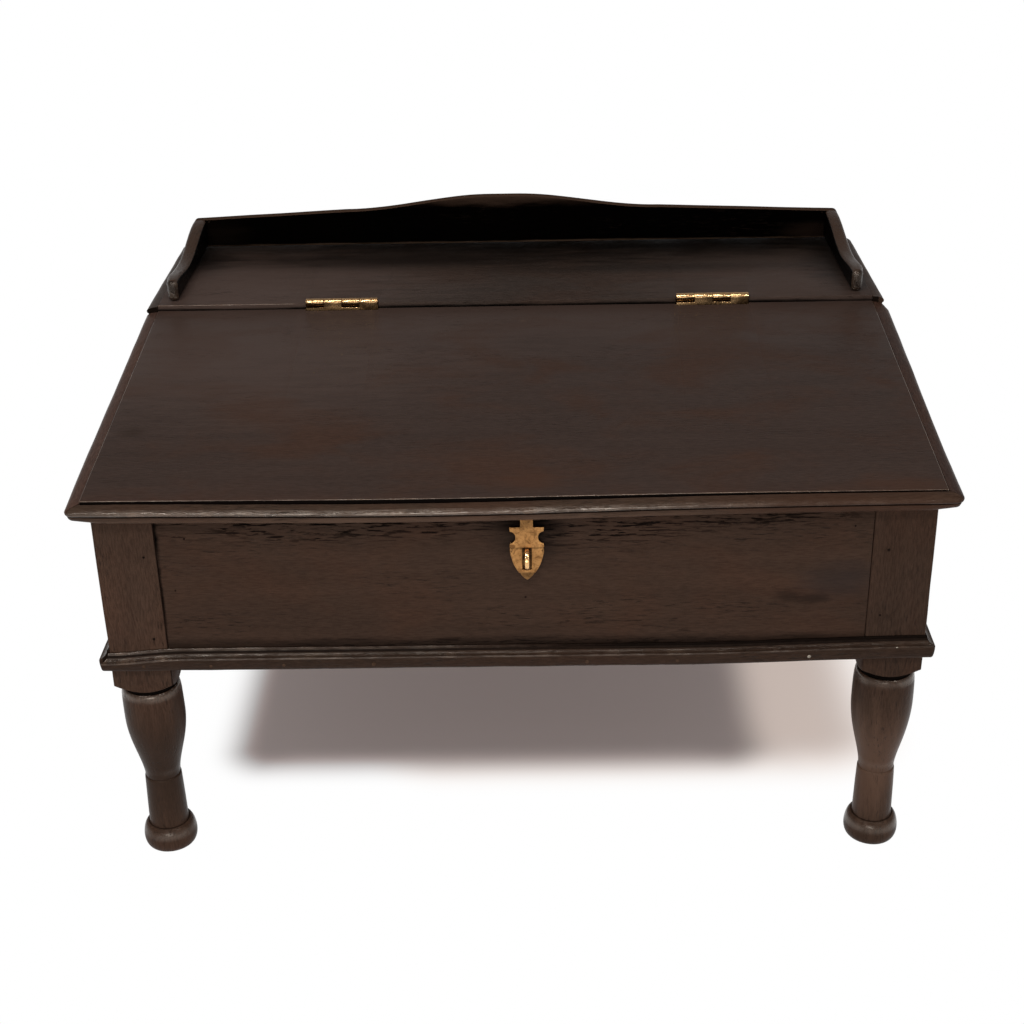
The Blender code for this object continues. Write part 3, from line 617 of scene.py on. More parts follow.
def dark_wood(name, grain, shift, tone=WOOD_BROWN, streak=0.3, fibre=0.8, red=0.3, pores=0.6, rub=0.5,
              gloss=0.42, polish=0.12, sheen=0.06, shine=POLISHED_SHEEN, relief=0.0003, stain_and_shade_patches=(), torn=()):
    """Dark polished wood; coloured patches, painted shade among them, are (centre, size, colour, share), torn
    grain (centre, size, share).
    """
    material, tree = new_material(name)
    spot = tree.spot()
    place = grain_place(tree, spot, grain, shift)
    figure = tree.group(TIMBER, vector=place)
    rubbing = tree.group(RUBBING, vector=place, edge=tree.mark("rubbed"), amount=rub)
    knocks = tree.group(KNOCKS, vector=place, pores=figure["Pores"])
    reddened = dimmed(OLD_RED, tone[0] / WOOD_BROWN[0])
    colour = tree.mix(tree.times(figure["Streak"], streak), tone, dimmed(tone, STREAK_SHADE))
    colour = tree.mix(tree.times(figure["Cloud"], red), colour, reddened)
    colour = tree.mix(tree.times(figure["Fibre"], fibre), colour, FIBRE_SHADE, "MULTIPLY")
    colour = tree.mix(tree.mark("brown_side"), colour, WOOD_BROWN)
    # This mark and the black patches darken the colour and dull the sheen, for soiling and painted shade
    # alike
    dull = tree.mark("grime_and_shade")
    for centre, size, stain_and_shade_colour, share in stain_and_shade_patches:
        mask = stain_and_shade_mask(tree, spot, place, centre, size, share)
        colour = tree.mix(mask, colour, stain_and_shade_colour)
        if stain_and_shade_colour == GRIME_AND_SHADE_BLACK:
            dull = tree.math("MAXIMUM", dull, mask)
    for centre, size, share in torn:
        mask = stain_and_shade_mask(tree, spot, place, centre, size, figure["Tears"], share)
        colour = tree.mix(mask, colour, GRIME_AND_SHADE_BLACK)
        dull = tree.math("MAXIMUM", dull, mask)
    colour = tree.mix(tree.times(figure["Pores"], pores), colour, PORE_BLACK)
    colour = tree.mix(tree.times(rubbing["Mask"], RUB_SHARE), colour, RUBBED_WOOD)
    colour = tree.mix(tree.mark("grime_and_shade"), colour, GRIME_AND_SHADE_BLACK)
    handled = tree.math("MAXIMUM", tree.mark("rubbed"), tree.mark("polished"))
    handled = tree.times(handled, tree.remap(rubbing["Patches"], 0.0, 1.0, HANDLED_LEAST, 1.0))
    roughness = tree.remap(figure["Cloud"], 0.0, 1.0, *(gloss + spread for spread in GLOSS_SPREAD))
    roughness = tree.less(roughness, tree.times(handled, polish))
    level = tree.times(tree.remap(handled, 0.0, 1.0, sheen, shine), tree.less(1.0, dull))
    finish_surface(tree, colour, roughness, knocks["Height"], relief, 0.0, level, WAX_TINT)
    return material


def bare_wood(name, grain, shift):
    """Unpolished planks under the case."""
    material, tree = new_material(name)
    place = grain_place(tree, tree.spot(), grain, shift)
    figure = tree.group(TIMBER, vector=place)
    knocks = tree.group(KNOCKS, vector=place, pores=figure["Pores"])
    colour = tree.mix(figure["Streak"], PLANK_BROWN, PLANK_PALE)
    colour = tree.mix(tree.times(figure["Cloud"], PLANK_GREYING), colour, PLANK_GREY)
    colour = tree.mix(figure["Pores"], colour, PLANK_PORE)
    roughness = tree.remap(figure["Streak"], 0.0, 1.0, *PLANK_ROUGHNESS)
    finish_surface(tree, colour, roughness, knocks["Height"], PLANK_RELIEF, 0.0, PLANK_SHEEN)
    return material


def aged_brass(name, bright, brown, rough=0.38, relief=0.00025, stain_and_shade_patches=()):
    """Old brass, browned in blotches; darker patches, painted shade among them, are (centre, size, share)."""
    material, tree = new_material(name)
    place = tree.spot()
    tarnish = tree.group(TARNISH, vector=place)
    colour = tree.mix(tree.times(tarnish["Brown"], BRASS_BROWNING), bright, brown)
    colour = tree.mix(tree.times(tarnish["Specks"], BRASS_SPECKLING), colour, BRASS_SPECK)
    colour = tree.mix(tree.times(tree.mark("rubbed"), BRASS_BRIGHTENING), colour, bright)
    for centre, size, share in stain_and_shade_patches:
        mask = stain_and_shade_mask(tree, place, place, centre, size, share)
        colour = tree.mix(mask, colour, BRASS_DIRT_AND_SHADE)
    colour = tree.mix(tree.times(tree.mark("grime_and_shade"), BRASS_DIRT_AND_SHADE_SHARE), colour, BRASS_DIRT_AND_SHADE)
    roughness = tree.remap(tarnish["Brown"], 0.0, 1.0, rough, rough + BRASS_ROUGHER)
    finish_surface(tree, colour, roughness, tarnish["Height"], relief, 1.0, 0.5)
    return material


def old_iron(name, colour, metallic):
    """Nail heads, rusted or bright, and the wooden plugs over sunken ones."""
    material, tree = new_material(name)
    tarnish = tree.group(TARNISH, vector=tree.spot())
    mixed = tree.mix(tarnish["Brown"], colour, dimmed(colour, RUST_SHADE))
    roughness = tree.remap(tarnish["Specks"], 0.0, 1.0, *IRON_ROUGHNESS)
    finish_surface(tree, mixed, roughness, tarnish["Height"], IRON_RELIEF, metallic, metallic / 2)
    return material


# Wooden pieces

def worn_board(node, body, material, axis=0, arris=ARRIS, shift=0.0, slot="dark_wood", share=1.0):
    """A board copied from the CAD with rounded arrises and a slightly uneven surface."""
    bm = cad_copy(node)
    soften(bm, arris, share=share)
    slice_across(bm, axis)
    wear(bm, shift=shift)
    piece(node + "_worn", bm, body, slot, material, node)


def make_case():
    """Boards round the case and the planks under it."""
    dirt_and_shade = [((0.243, Y_FRONT, 0.249), (0.044, 0.02, 0.024), SMOKE_BLACK, 0.6),
            ((0.205, Y_FRONT, 0.2355), (0.018, 0.02, 0.008), PORE_BLACK, 0.6),
            ((0.223, Y_FRONT, 0.2330), (0.018, 0.02, 0.007), PORE_BLACK, 0.6),
            ((0.0, Y_FRONT, UNDER_CASE + BASE_HEIGHT), (1.0, 0.02, 0.010), PORE_BLACK, 0.8),
            # Black under the nosing beside the hasp's neck is painted shadow; below it the board is darker
            # round the hasp
            ((HASP_AXIS.x, Y_FRONT, HASP_AXIS.z - 0.006), (0.036, 0.03, 0.018), GRIME_AND_SHADE_BLACK, 1.0),
            ((HASP_AXIS.x, Y_FRONT, HASP_AXIS.z - 0.020), (0.036, 0.03, 0.036), PORE_BLACK, 0.9),
            ((FRONT_BOARD_LOW.x, Y_FRONT, 0.292), (0.0040, 0.03, 0.040), GRIME_AND_SHADE_BLACK, 1.0),
            ((FRONT_BOARD_LOW.x, Y_FRONT, 0.240), (0.0024, 0.03, 0.050), GRIME_AND_SHADE_BLACK, 0.9)]
    torn = [((-0.13, Y_FRONT, 0.300), (0.26, 0.02, 0.022), 1.0),
            ((0.06, Y_FRONT, 0.296), (0.10, 0.02, 0.026), 1.0),
            ((0.17, Y_FRONT, 0.302), (0.16, 0.02, 0.016), 0.9),
            ((0.0, Y_FRONT, UNDER_CASE + BASE_HEIGHT), (0.30, 0.02, 0.010), 0.7)]
    front = dark_wood("front_board_wood", "x", 0.3, streak=0.35, fibre=0.6, red=0.35, pores=0.7, rub=0.3,
                      relief=0.0005, stain_and_shade_patches=dirt_and_shade, torn=torn)
    worn_board("front_board", "desk", front, shift=1.0, share=0.1)
    worn_board("back_board", "desk", dark_wood("back_board_wood", "x", 1.9, rub=0.3), shift=2.0)
    for side, shift in (("left", 2.6), ("right", 3.4)):
        wood = dark_wood(side + "_side_wood", "y", shift, rub=0.3)
        worn_board(side + "_side_board", "desk", wood, axis=1, shift=shift, share=0.1)
    for order, name in enumerate(("front", "middle", "rear")):
        wood = bare_wood("bottom_" + name + "_wood", "x", 4.0 + order)
        worn_board("bottom_plank_" + name, "desk", wood, arris=0.0009, shift=order, slot="bare_wood")


SWELL_STEPS = 20
SWELL_FULLNESS = 1.5


def leg_outline():
    """Turned outline from the foot to above the pommel: (radius, height)."""
    corner_radius = LEG_SQUARE / 2 * 2 ** 0.5
    swell_z = SHOULDER_Z - SWELL_DROP
    neck_z = RING_Z + RING_HALF_WIDTH
    points = [(0, 0), (FOOT_BOTTOM_RADIUS, 0)]
    points += quarter(points[-1], (FOOT_RADIUS, FOOT_MIDDLE_Z), 8, True)
    points += quarter((FOOT_RADIUS, FOOT_MIDDLE_Z), (ANKLE_RADIUS, ANKLE_Z), 8, False)
    points.append((RING_RADIUS, RING_Z - 2 * RING_HALF_WIDTH))
    points += quarter(points[-1], (NECK_RADIUS - RING_DEPTH / 2, RING_Z), 4, False)
    points.append((NECK_RADIUS, neck_z))
    for step in range(1, SWELL_STEPS + 1):
        share = step / SWELL_STEPS
        ease = sin(pi / 2 * share) ** SWELL_FULLNESS
        points.append((NECK_RADIUS + (SWELL_RADIUS - NECK_RADIUS) * ease,
                       neck_z + (swell_z - neck_z) * share))
    turn = (SHOULDER_RADIUS + SHOULDER_ROUND / 3, SHOULDER_Z - SHOULDER_ROUND)
    points += quarter((SWELL_RADIUS, swell_z), turn, 8, False)
    points += quarter(turn, (GROOVE_RADIUS + TURNING_WASTE, SHOULDER_Z), 8, False)
    points.append((GROOVE_RADIUS, SHOULDER_Z + GROOVE_HEIGHT / 3))
    points.append((GROOVE_RADIUS, GROOVE_TOP))
    points.append((LEG_SQUARE / 2 - POMMEL_LEDGE, GROOVE_TOP))
    points.append((corner_radius + TURNING_WASTE, POMMEL_TOP))
    points.append((corner_radius + TURNING_WASTE, SHELF_TOP))
    points.append((0, SHELF_TOP))
    return points


LEG_SIDES = 72
SWELL_LIFT = 0.0060
UPRIGHT_ANGLE = radians(60)
FRONT_LEGS = (("left", 1.3, 0.6), ("right", 1.0, 1.9))
LEG_FINISH = {"rub": 0.35, "gloss": 0.36, "polish": 0.20, "relief": 0.0004}
SHADE_REACH = 0.0006
SHOULDER_SHADE_REACH = 0.0004

# Polished rings of a leg: height, half width and share
POLISHED_RINGS = ((SHOULDER_Z - 0.0030, 0.0065, 1.0), (FOOT_MIDDLE_Z + 0.0075, 0.0060, 0.8),
                  (RING_Z + 0.0070, 0.0060, 0.3))


def trim(bm, place, normal):
    """Cut away what lies beyond a plane, above a leg's groove, and close the cut."""
    post = [face for face in bm.faces if min(vert.co.z for vert in face.verts) > GROOVE_TOP - MERGE]
    edges = {edge for face in post for edge in face.edges}
    verts = {vert for face in post for vert in face.verts}
    bmesh.ops.bisect_plane(bm, geom=post + list(edges) + list(verts), dist=MERGE, plane_co=place,
                           plane_no=normal, clear_outer=True)
    bmesh.ops.holes_fill(bm, edges=[edge for edge in bm.edges if edge.is_boundary])


def band(bm, low, high):
    """Faces of a leg whose middle lies between two heights."""
    return [face for face in bm.faces if low < face.calc_center_median().z < high]


def polish_rings(bm):
    """Polish a leg where hands and cloths reach it."""
    layer = bm.verts.layers.float["polished"]
    for vert in bm.verts:
        for height, half, share in POLISHED_RINGS:
            vert[layer] = max(vert[layer], share * smooth_step(half, 0, abs(vert.co.z - height)))


def make_leg(node, slope, wood, shift, lift=0.0):
    """A leg spun from its outline and planed square above the pommel; lift moves the swell up."""
    middle = middle_of(node)
    bm = new_mesh()
    verts = [bm.verts.new((radius, 0, z)) for radius, z in leg_outline()]
    edges = [bm.edges.new(pair) for pair in zip(verts, verts[1:])]
    bmesh.ops.spin(bm, geom=verts + edges, cent=(0, 0, 0), axis=(0, 0, 1), angle=2 * pi,
                   steps=LEG_SIDES, use_merge=True)
    bmesh.ops.remove_doubles(bm, verts=bm.verts, dist=MERGE)
    bmesh.ops.recalc_face_normals(bm, faces=bm.faces)
    half = LEG_SQUARE / 2
    for normal in ((1, 0, 0), (-1, 0, 0), (0, 1, 0), (0, -1, 0)):
        trim(bm, Vector(normal) * half, normal)
    trim(bm, (0, half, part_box(node)[1].z), (0, -sin(slope), cos(slope)))
    upright = [edge for edge in bm.edges if edge.calc_face_angle(0) > UPRIGHT_ANGLE
               and abs(edge.verts[0].co.z - edge.verts[1].co.z) > 0.9 * edge.calc_length()]
    rounded = round_edges(bm, upright, ARRIS, 2)
    bm.normal_update()
    inner = [face for face in rounded if face.normal.x * middle.x < 0]
    mark(bm, "rubbed", rounded, POST_RUB)
    mark(bm, "rubbed", inner, 0.0)
    mark(bm, "grime_and_shade", inner, JOINT_DIRT["left" if middle.x < 0 else "right"])
    slice_across(bm, 2)
    # Painted shade in the groove under the pommel and in the ankle's crease
    groove = band(bm, SHOULDER_Z - SHOULDER_SHADE_REACH, GROOVE_TOP + SHADE_REACH)
    mark(bm, "grime_and_shade", groove, GROOVE_SHADE)
    mark(bm, "grime_and_shade", band(bm, ANKLE_Z - SHADE_REACH, ANKLE_Z + SHADE_REACH), ANKLE_SHADE)
    polish_rings(bm)
    for vert in bm.verts:
        if vert.co.z < UNDER_CASE:
            vert.co.z += lift * smooth_step(RING_Z, SHOULDER_Z, vert.co.z)
    bmesh.ops.translate(bm, vec=middle, verts=bm.verts)
    wear(bm, TURNED_WAVE, shift)
    for vert in bm.verts:
        vert.co.z = max(vert.co.z, 0)
    piece(node + "_turned", bm, "desk", "dark_wood", wood, node)


def make_legs():
    """Four legs alike, but for the front ones' tones and the right one's higher swell."""
    for order, (side, post_tone, turned_tone) in enumerate(FRONT_LEGS):
        node = "front_" + side + "_leg"
        turned = middle_of(node, GROOVE_TOP / 2)
        toned = [(turned, (0.2, 0.2, GROOVE_TOP / 2), dimmed(TURNED_BROWN, turned_tone), 0.9)]
        wood = dark_wood(node + "_wood", "z", 5.3 + order, dimmed(TURNED_BROWN, post_tone), stain_and_shade_patches=toned,
                         **LEG_FINISH)
        make_leg(node, LID_SLOPE, wood, order, SWELL_LIFT * order)
        node = "rear_" + side + "_leg"
        wood = dark_wood(node + "_wood", "z", 7.3 + order, TURNED_BROWN, **LEG_FINISH)
        make_leg(node, 0.0, wood, order + 3)


def strip_section(thickness):
    """Moulding round the top: (out from the quirk, up from the top face), clockwise."""
    nose = (STRIP_WIDTH, -NOSE_HEIGHT)
    quirk = (STRIP_WIDTH - QUIRK_DEPTH, -NOSE_HEIGHT - NOSE_SET / 2)
    points = [(0, -thickness), (0, -STRIP_STEP - STRIP_ARRIS), (STRIP_ARRIS, -STRIP_STEP)]
    points += quarter(points[-1], nose, 12, True)
    points += quarter(nose, quirk, 5, False)
    points += quarter(quirk, (STRIP_WIDTH - COVE_RUN, -thickness), 8, False)
    return points


def base_section():
    """Base moulding: (out from the case face, up from its lower edge), clockwise."""
    arris = (BASE_PROJECTION - BASE_FILLET / 2, BASE_NOSE_HEIGHT)
    lower = (BASE_PROJECTION - BASE_FILLET * 2, 0)
    points = [(FIT_GAP, 0), (FIT_GAP, BASE_HEIGHT), (FIT_GAP + BASE_FILLET * 0.3, BASE_HEIGHT)]
    points += quarter(points[-1], (FIT_GAP + BASE_FILLET, BASE_HEIGHT - BASE_FILLET * 0.7), 3, True)
    points.append((FIT_GAP + BASE_FILLET, BASE_HEIGHT - BASE_FILLET))
    points += quarter(points[-1], arris, 8, False)
    points.append((BASE_PROJECTION, BASE_NOSE_HEIGHT - BASE_FILLET))
    points += quarter(points[-1], lower, 6, False)
    return points


BASE_FINISH = {"rub": 0.3, "gloss": 0.34, "polish": 0.20}


def mark_base(bm, out_of):
    """Rub the base moulding's upper fillet and the arris of its nose, and darken its cove with painted shade.
    """
    for face in bm.faces:
        middle = face.calc_center_median()
        up = middle.z - UNDER_CASE
        least, most = BASE_RUB
        rubbed = least + (most - least) * smooth_step(-BASE_RUB_FROM, -X_CASE, middle.x)
        if up > BASE_HEIGHT - BASE_FILLET * 1.5:
            dirty = smooth_step(-BASE_DIRT_FROM, BASE_DIRT_FROM, middle.x)
            mark(bm, "grime_and_shade", [face], BASE_FILLET_DIRT * dirty)
            mark(bm, "rubbed", [face], rubbed * (1 - dirty))
        elif abs(up - BASE_NOSE_HEIGHT) < BASE_FILLET * 1.2:
            mark(bm, "rubbed", [face], rubbed)
        elif up > BASE_NOSE_HEIGHT + BASE_FILLET and out_of(middle) < BASE_PROJECTION / 3:
            mark(bm, "grime_and_shade", [face], BASE_COVE_SHADE)


def make_base():
    """Strips round the foot of the case, mitred at the front corners."""
    section = base_section()
    ring = [(-X_CASE - out + FIT_GAP, Y_FRONT - out, UNDER_CASE + up) for out, up in section]
    bm = sweep(ring, lambda point: Vector((-point.x, point.y, point.z)))
    slice_across(bm, 0)
    for side in (-1, 1):
        round_corner(bm, (side * (X_BASE - FIT_GAP), Y_BASE), (side, -1), BASE_CORNER)
    mark_base(bm, lambda point: Y_FRONT - point.y)
    wear(bm, TURNED_WAVE, 9.0)
    for vert in bm.verts:
        if vert.co.z > UNDER_CASE + BASE_HEIGHT / 3:
            vert.co.z -= CORNER_DIP * smooth_step(X_CASE - CORNER_DIP_RUN, X_CASE, -vert.co.x)
        vert.co.z += BASE_RISE * smooth_step(BASE_RISE_FROM, X_BASE, vert.co.x)
    wood = dark_wood("base_front_wood", "x", 9.1, dimmed(TURNED_BROWN, 0.75), relief=0.0006, **BASE_FINISH)
    piece("base_front_moulding_run", bm, "desk", "dark_wood", wood, "base_front_moulding")
    for name, side in (("base_left_moulding", -1), ("base_right_moulding", 1)):
        ring = [(side * (X_CASE + out), Y_FRONT - out + FIT_GAP, UNDER_CASE + up) for out, up in section]
        bm = sweep(ring, lambda point: Vector((point.x, Y_BACK, point.z)))
        slice_across(bm, 1)
        round_corner(bm, (side * X_BASE, Y_BASE), (side, -1), BASE_CORNER)
        mark_base(bm, lambda point: abs(point.x) - X_CASE)
        wear(bm, TURNED_WAVE, 10.0 + side)
        if side > 0:
            for vert in bm.verts:
                vert.co.z += BASE_RISE * smooth_step(Y_BACK, Y_BASE, vert.co.y)
        wood = dark_wood(name + "_wood", "y", 10.3 + side, TURNED_BROWN, relief=0.0005, **BASE_FINISH)
        piece(name + "_run", bm, "desk", "dark_wood", wood, name)


def mark_strip(bm, out_of, top, nose_of=lambda point: NOSE_RUB):
    """Rub a top moulding's nose, and blacken the quirk below it as painted shade."""
    quirk = -NOSE_HEIGHT - NOSE_SET / 2
    for face in bm.faces:
        middle = face.calc_center_median()
        out, up = out_of(middle), middle.z - top
        if abs(up - quirk) < QUIRK_DEPTH / 2 and out < STRIP_WIDTH - QUIRK_DEPTH / 3:
            mark(bm, "grime_and_shade", [face], QUIRK_SHADE)
        elif up > quirk and out > STRIP_WIDTH * NOSE_RUB_FROM:
            mark(bm, "rubbed", [face], nose_of(middle))
        elif up > quirk and out > STRIP_WIDTH * NOSE_FADE_FROM:
            mark(bm, "rubbed", [face], nose_of(middle) / 3)


LID_REAR_DROP = 0.0058
LID_REAR_Z = HINGE_AXIS.z - LID_REAR_DROP
SHELF_POLISH_END = -0.19


def make_shelf():
    """The fixed part of the top, with its two moulded strips."""
    marks = [((-0.25, 0.12, SHELF_TOP), (0.26, 0.16, 0.05), dimmed(LID_BROWN, 1.35), 1.0),
             ((0.26, 0.11, SHELF_TOP), (0.20, 0.12, 0.05), dimmed(LID_BROWN, 1.2), 0.8),
             # The black band along the foot of the gallery and the black patches in the back corners are
             # painted shade and painted reflection of the black gallery
             ((0.10, 0.236, SHELF_TOP), (0.70, 0.070, 0.05), GALLERY_BLACK, 0.97),
             ((-0.08, 0.190, SHELF_TOP), (0.30, 0.036, 0.05), dimmed(SHELF_BROWN, 0.2), 0.8),
             ((0.12, 0.160, SHELF_TOP), (0.24, 0.024, 0.05), dimmed(SHELF_BROWN, 0.3), 0.6),
             ((-0.30, 0.200, SHELF_TOP), (0.05, 0.070, 0.05), GALLERY_BLACK, 0.8),
             ((0.30, 0.170, SHELF_TOP), (0.05, 0.120, 0.05), GALLERY_BLACK, 0.7),
             # Black along the foot of the shelf's front edge is painted shade in the gap above the lid
             ((0.10, SHELF_LOW.y, LID_REAR_Z), (0.70, 0.03, 0.0036), GRIME_AND_SHADE_BLACK, 1.0),
             ((-0.20, SHELF_LOW.y, LID_REAR_Z), (0.40, 0.03, 0.0022), GRIME_AND_SHADE_BLACK, 0.9)]
    torn = [((0.0, 0.2370, SHELF_TOP), (0.90, 0.0040, 0.05), 0.8)]
    wood = dark_wood("shelf_wood", "x", 12.2, SHELF_BROWN, rub=0.6, gloss=0.42, stain_and_shade_patches=marks, torn=torn)
    bm = cad_copy("top_shelf")
    soften(bm, ARRIS)
    mark(bm, "rubbed", bm.faces, 0.0)
    slice_across(bm, 0)
    bm.normal_update()
    arris = [face for face in bm.faces if 0.2 < -face.normal.y < 0.95 and face.normal.z > 0]
    mark(bm, "rubbed", [face for face in arris if face.calc_center_median().x < SHELF_POLISH_END])
    wear(bm, shift=12.0)
    piece("top_shelf_worn", bm, "desk", "dark_wood", wood, "top_shelf")
    for name, side in (("shelf_left_moulding", -1), ("shelf_right_moulding", 1)):
        ring = [(side * (X_QUIRK + FIT_GAP / 2 + out), SHELF_LOW.y, SHELF_TOP + up)
                for out, up in strip_section(SHELF_THICKNESS)]
        bm = slab(ring, (0, SHELF_HIGH.y - SHELF_LOW.y, 0))
        slice_across(bm, 1)
        if side > 0:
            round_corner(bm, (X_TOP, SHELF_HIGH.y), (1, 1), SHELF_CORNER)
        mark_strip(bm, lambda point: abs(point.x) - X_QUIRK - FIT_GAP / 2, SHELF_TOP)
        wear(bm, STRIP_WAVE, 13.0 + side)
        strip_wood = dark_wood(name + "_wood", "y", 13.3 + side, rub=0.6, relief=0.0005)
        piece(name + "_run", bm, "desk", "dark_wood", strip_wood, name)


def crest_outline():
    """Upper edge of the gallery's back, from the right end to the left: (x, up)."""
    points = []
    for side in (1, -1):
        flat = CREST_OFFSET + side * CREST_FLAT_HALF
        shoulder = CREST_OFFSET + side * CREST_SHOULDER_HALF
        corner = (side * X_CASE, GALLERY_END_HEIGHT - GALLERY_CORNER)
        half = [corner] + quarter(corner, (side * (X_CASE - GALLERY_CORNER), GALLERY_END_HEIGHT), 6, False)
        half.append((shoulder, CREST_SHOULDER_HEIGHT))
        half += ogee(half[-1], (flat, CREST_HEIGHT), 20)
        points += half if side == 1 else half[::-1]
    return points


def bracket_outline(depth):
    """Upper edge of a gallery side, from its nose to the gallery's back: (along, up)."""
    radius = BRACKET_NOSE_RADIUS
    points = [(0, 0), (0, BRACKET_NOSE_HEIGHT - radius)]
    points += quarter(points[-1], (radius, BRACKET_NOSE_HEIGHT), 8, False)
    points += ogee(points[-1], (BRACKET_DIP_RUN, BRACKET_DIP_HEIGHT), 14)
    points += ogee(points[-1], (depth, GALLERY_END_HEIGHT), 20)
    points.append((depth, 0))
    return points


def brown_all_but(bm, kept_side):
    """Mark all but one side to take the wood's brown; that side alone keeps the black tone."""
    bm.normal_update()
    mark(bm, "rubbed", bm.faces, 0.0)
    mark(bm, "brown_side", [face for face in bm.faces if face.normal.dot(kept_side) < 0.8])


CREST_ROUND = 0.0022
CREST_ANGLE = radians(45)


def make_gallery():
    """The gallery's back with its crest, and its two ogee sides."""
    low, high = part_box("gallery_back")
    ring = [(-X_CASE, low.y, low.z), (X_CASE, low.y, low.z)]
    ring += [(x, low.y, low.z + up) for x, up in crest_outline()]
    bm = slab(ring, (0, high.y - low.y, 0))
    soften(bm, CREST_ROUND, 4, CREST_ANGLE)
    brown_all_but(bm, Vector((0, -1, 0)))
    slice_across(bm, 0)
    wear(bm, GALLERY_WAVE, 15.0)
    marks = [((CREST_OFFSET, low.y, low.z + CREST_HEIGHT), (0.24, 0.05, 0.012), WOOD_BROWN, 0.6),
             ((-0.285, low.y, low.z + 0.012), (0.040, 0.05, 0.020), WOOD_BROWN, 0.05),
             ((0.285, low.y, low.z + 0.006), (0.040, 0.05, 0.014), WOOD_BROWN, 0.15),
             ((0.0, low.y, low.z), (0.60, 0.05, 0.0028), RUBBED_WOOD, 0.7)]
    wood = dark_wood("gallery_back_wood", "x", 15.1, GALLERY_BLACK, rub=0.2, gloss=0.5, sheen=0.0,
                     stain_and_shade_patches=marks)
    piece("gallery_back_shaped", bm, "desk", "dark_wood", wood, "gallery_back")
    for order, side in enumerate(("left", "right")):
        node = "gallery_" + side + "_side"
        low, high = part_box(node)
        ring = [(low.x, low.y + along, low.z + up) for along, up in bracket_outline(high.y - low.y)]
        bm = slab(ring, (high.x - low.x, 0, 0))
        outer = low.x if order == 0 else high.x
        for vert in bm.verts:
            if abs(vert.co.x - outer) < MERGE:
                near = smooth_step(low.y + NOSE_TAPER_RUN, low.y, vert.co.y)
                vert.co.x += (1 - 2 * order) * NOSE_TAPER * near
        soften(bm, GALLERY_CORNER, 5, CREST_ANGLE, behind=high.y - MERGE)
        brown_all_but(bm, Vector((1 - 2 * order, 0, 0)))
        nose = [face for face in bm.faces if face.normal.y < -0.3]
        mark(bm, "brown_side", nose, BRACKET_NOSE_BROWN)
        mark(bm, "rubbed", nose)
        wear(bm, GALLERY_WAVE, 16.0 + order)
        wood = dark_wood(node + "_wood", "y", 16.4 + order, GALLERY_BLACK, gloss=0.30, polish=0.2, sheen=0.05,
                         relief=0.0012)
        piece(node + "_shaped", bm, "desk", "dark_wood", wood, node)


LID_BELOW_AXIS = 0.0055
LID_TOP = -LID_BELOW_AXIS * cos(LID_SLOPE)
LID_REAR_GAP = 0.0004
LID_FRONT_GAP = (0.0010, 0.0013)
LID_GAP_FROM, LID_GAP_TO = -0.1, 0.28
NOSING_DROOP = 0.0036
DROOP_X = -0.07
DROOP_SPREAD = 0.17
NOSING_TILT = 0.0008
DROOP_REACH = 0.06
DROOP_STEPS = 4
BOARD_DROOP = 0.5
NOSING_RUB_LOSS = 0.75
NOSING_RUB_END = 0.22
HASP_RECESS_HALF = 0.0118
HASP_RECESS_DEPTH = 0.0046
HASP_RECESS_EDGE = 0.0006
HASP_RECESS_MARGIN = 0.002
QUIRK_BACK = 0.0008


def lid_rear(z):
    """Where the lid's rear edge lies in its flat frame, at a height."""
    return -LID_REAR_GAP / cos(LID_SLOPE) + z * tan(LID_SLOPE)


def lid_front_edge():
    """Where the nosing's front lies in the lid's flat frame."""
    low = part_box("lid_front_moulding")[0]
    nose = Vector((0, low.y, 0)) - HINGE_AXIS
    drop = LID_TOP - NOSE_HEIGHT
    return (nose.y + drop * sin(LID_SLOPE)) / cos(LID_SLOPE)


def droop(x):
    """How far the old nosing hangs below its true line."""
    return NOSING_DROOP * exp(-((x - DROOP_X) / DROOP_SPREAD) ** 2) - NOSING_TILT * x / X_TOP


def thin_ends(bm, beyond):
    """Wear away the lip under the nose towards the front corners, where beyond reaches zero."""
    quirk = LID_TOP - NOSE_HEIGHT - NOSE_SET / 2
    for vert in bm.verts:
        if vert.co.z < quirk:
            worn = THIN_END_SHARE * smooth_step(-THIN_END_RUN, 0, beyond(vert.co))
            vert.co.z += worn * (quirk - vert.co.z)


def make_lid_board(wood):
    """The lid board, whose front edge has sunk a little with the nosing."""
    bm = cad_copy("lid_board")
    soften(bm, ARRIS)
    slice_across(bm, 0)
    move(bm, LID_PLACE.inverted())
    front = min(vert.co.y for vert in bm.verts)
    for step in range(1, DROOP_STEPS + 1):
        cut(bm, (0, front + DROOP_REACH * step / DROOP_STEPS, 0), (0, 1, 0))
    for vert in bm.verts:
        if vert.co.z > LID_TOP - LID_THICKNESS / 2:
            near = smooth_step(front + DROOP_REACH, front, vert.co.y)
            vert.co.z -= BOARD_DROOP * max(0, droop(vert.co.x)) * near
    bm.normal_update()
    # Painted shade on the board's front and rear edges, in the gaps to the nosing and the shelf
    edges = [face for face in bm.faces if face.normal.y < -0.9 or face.normal.y > 0.5]
    mark(bm, "grime_and_shade", edges, LID_EDGE_SHADE)
    move(bm, LID_PLACE)
    wear(bm, shift=20.0)
    piece("lid_board_worn", bm, "lid", "dark_wood", wood, "lid_board")


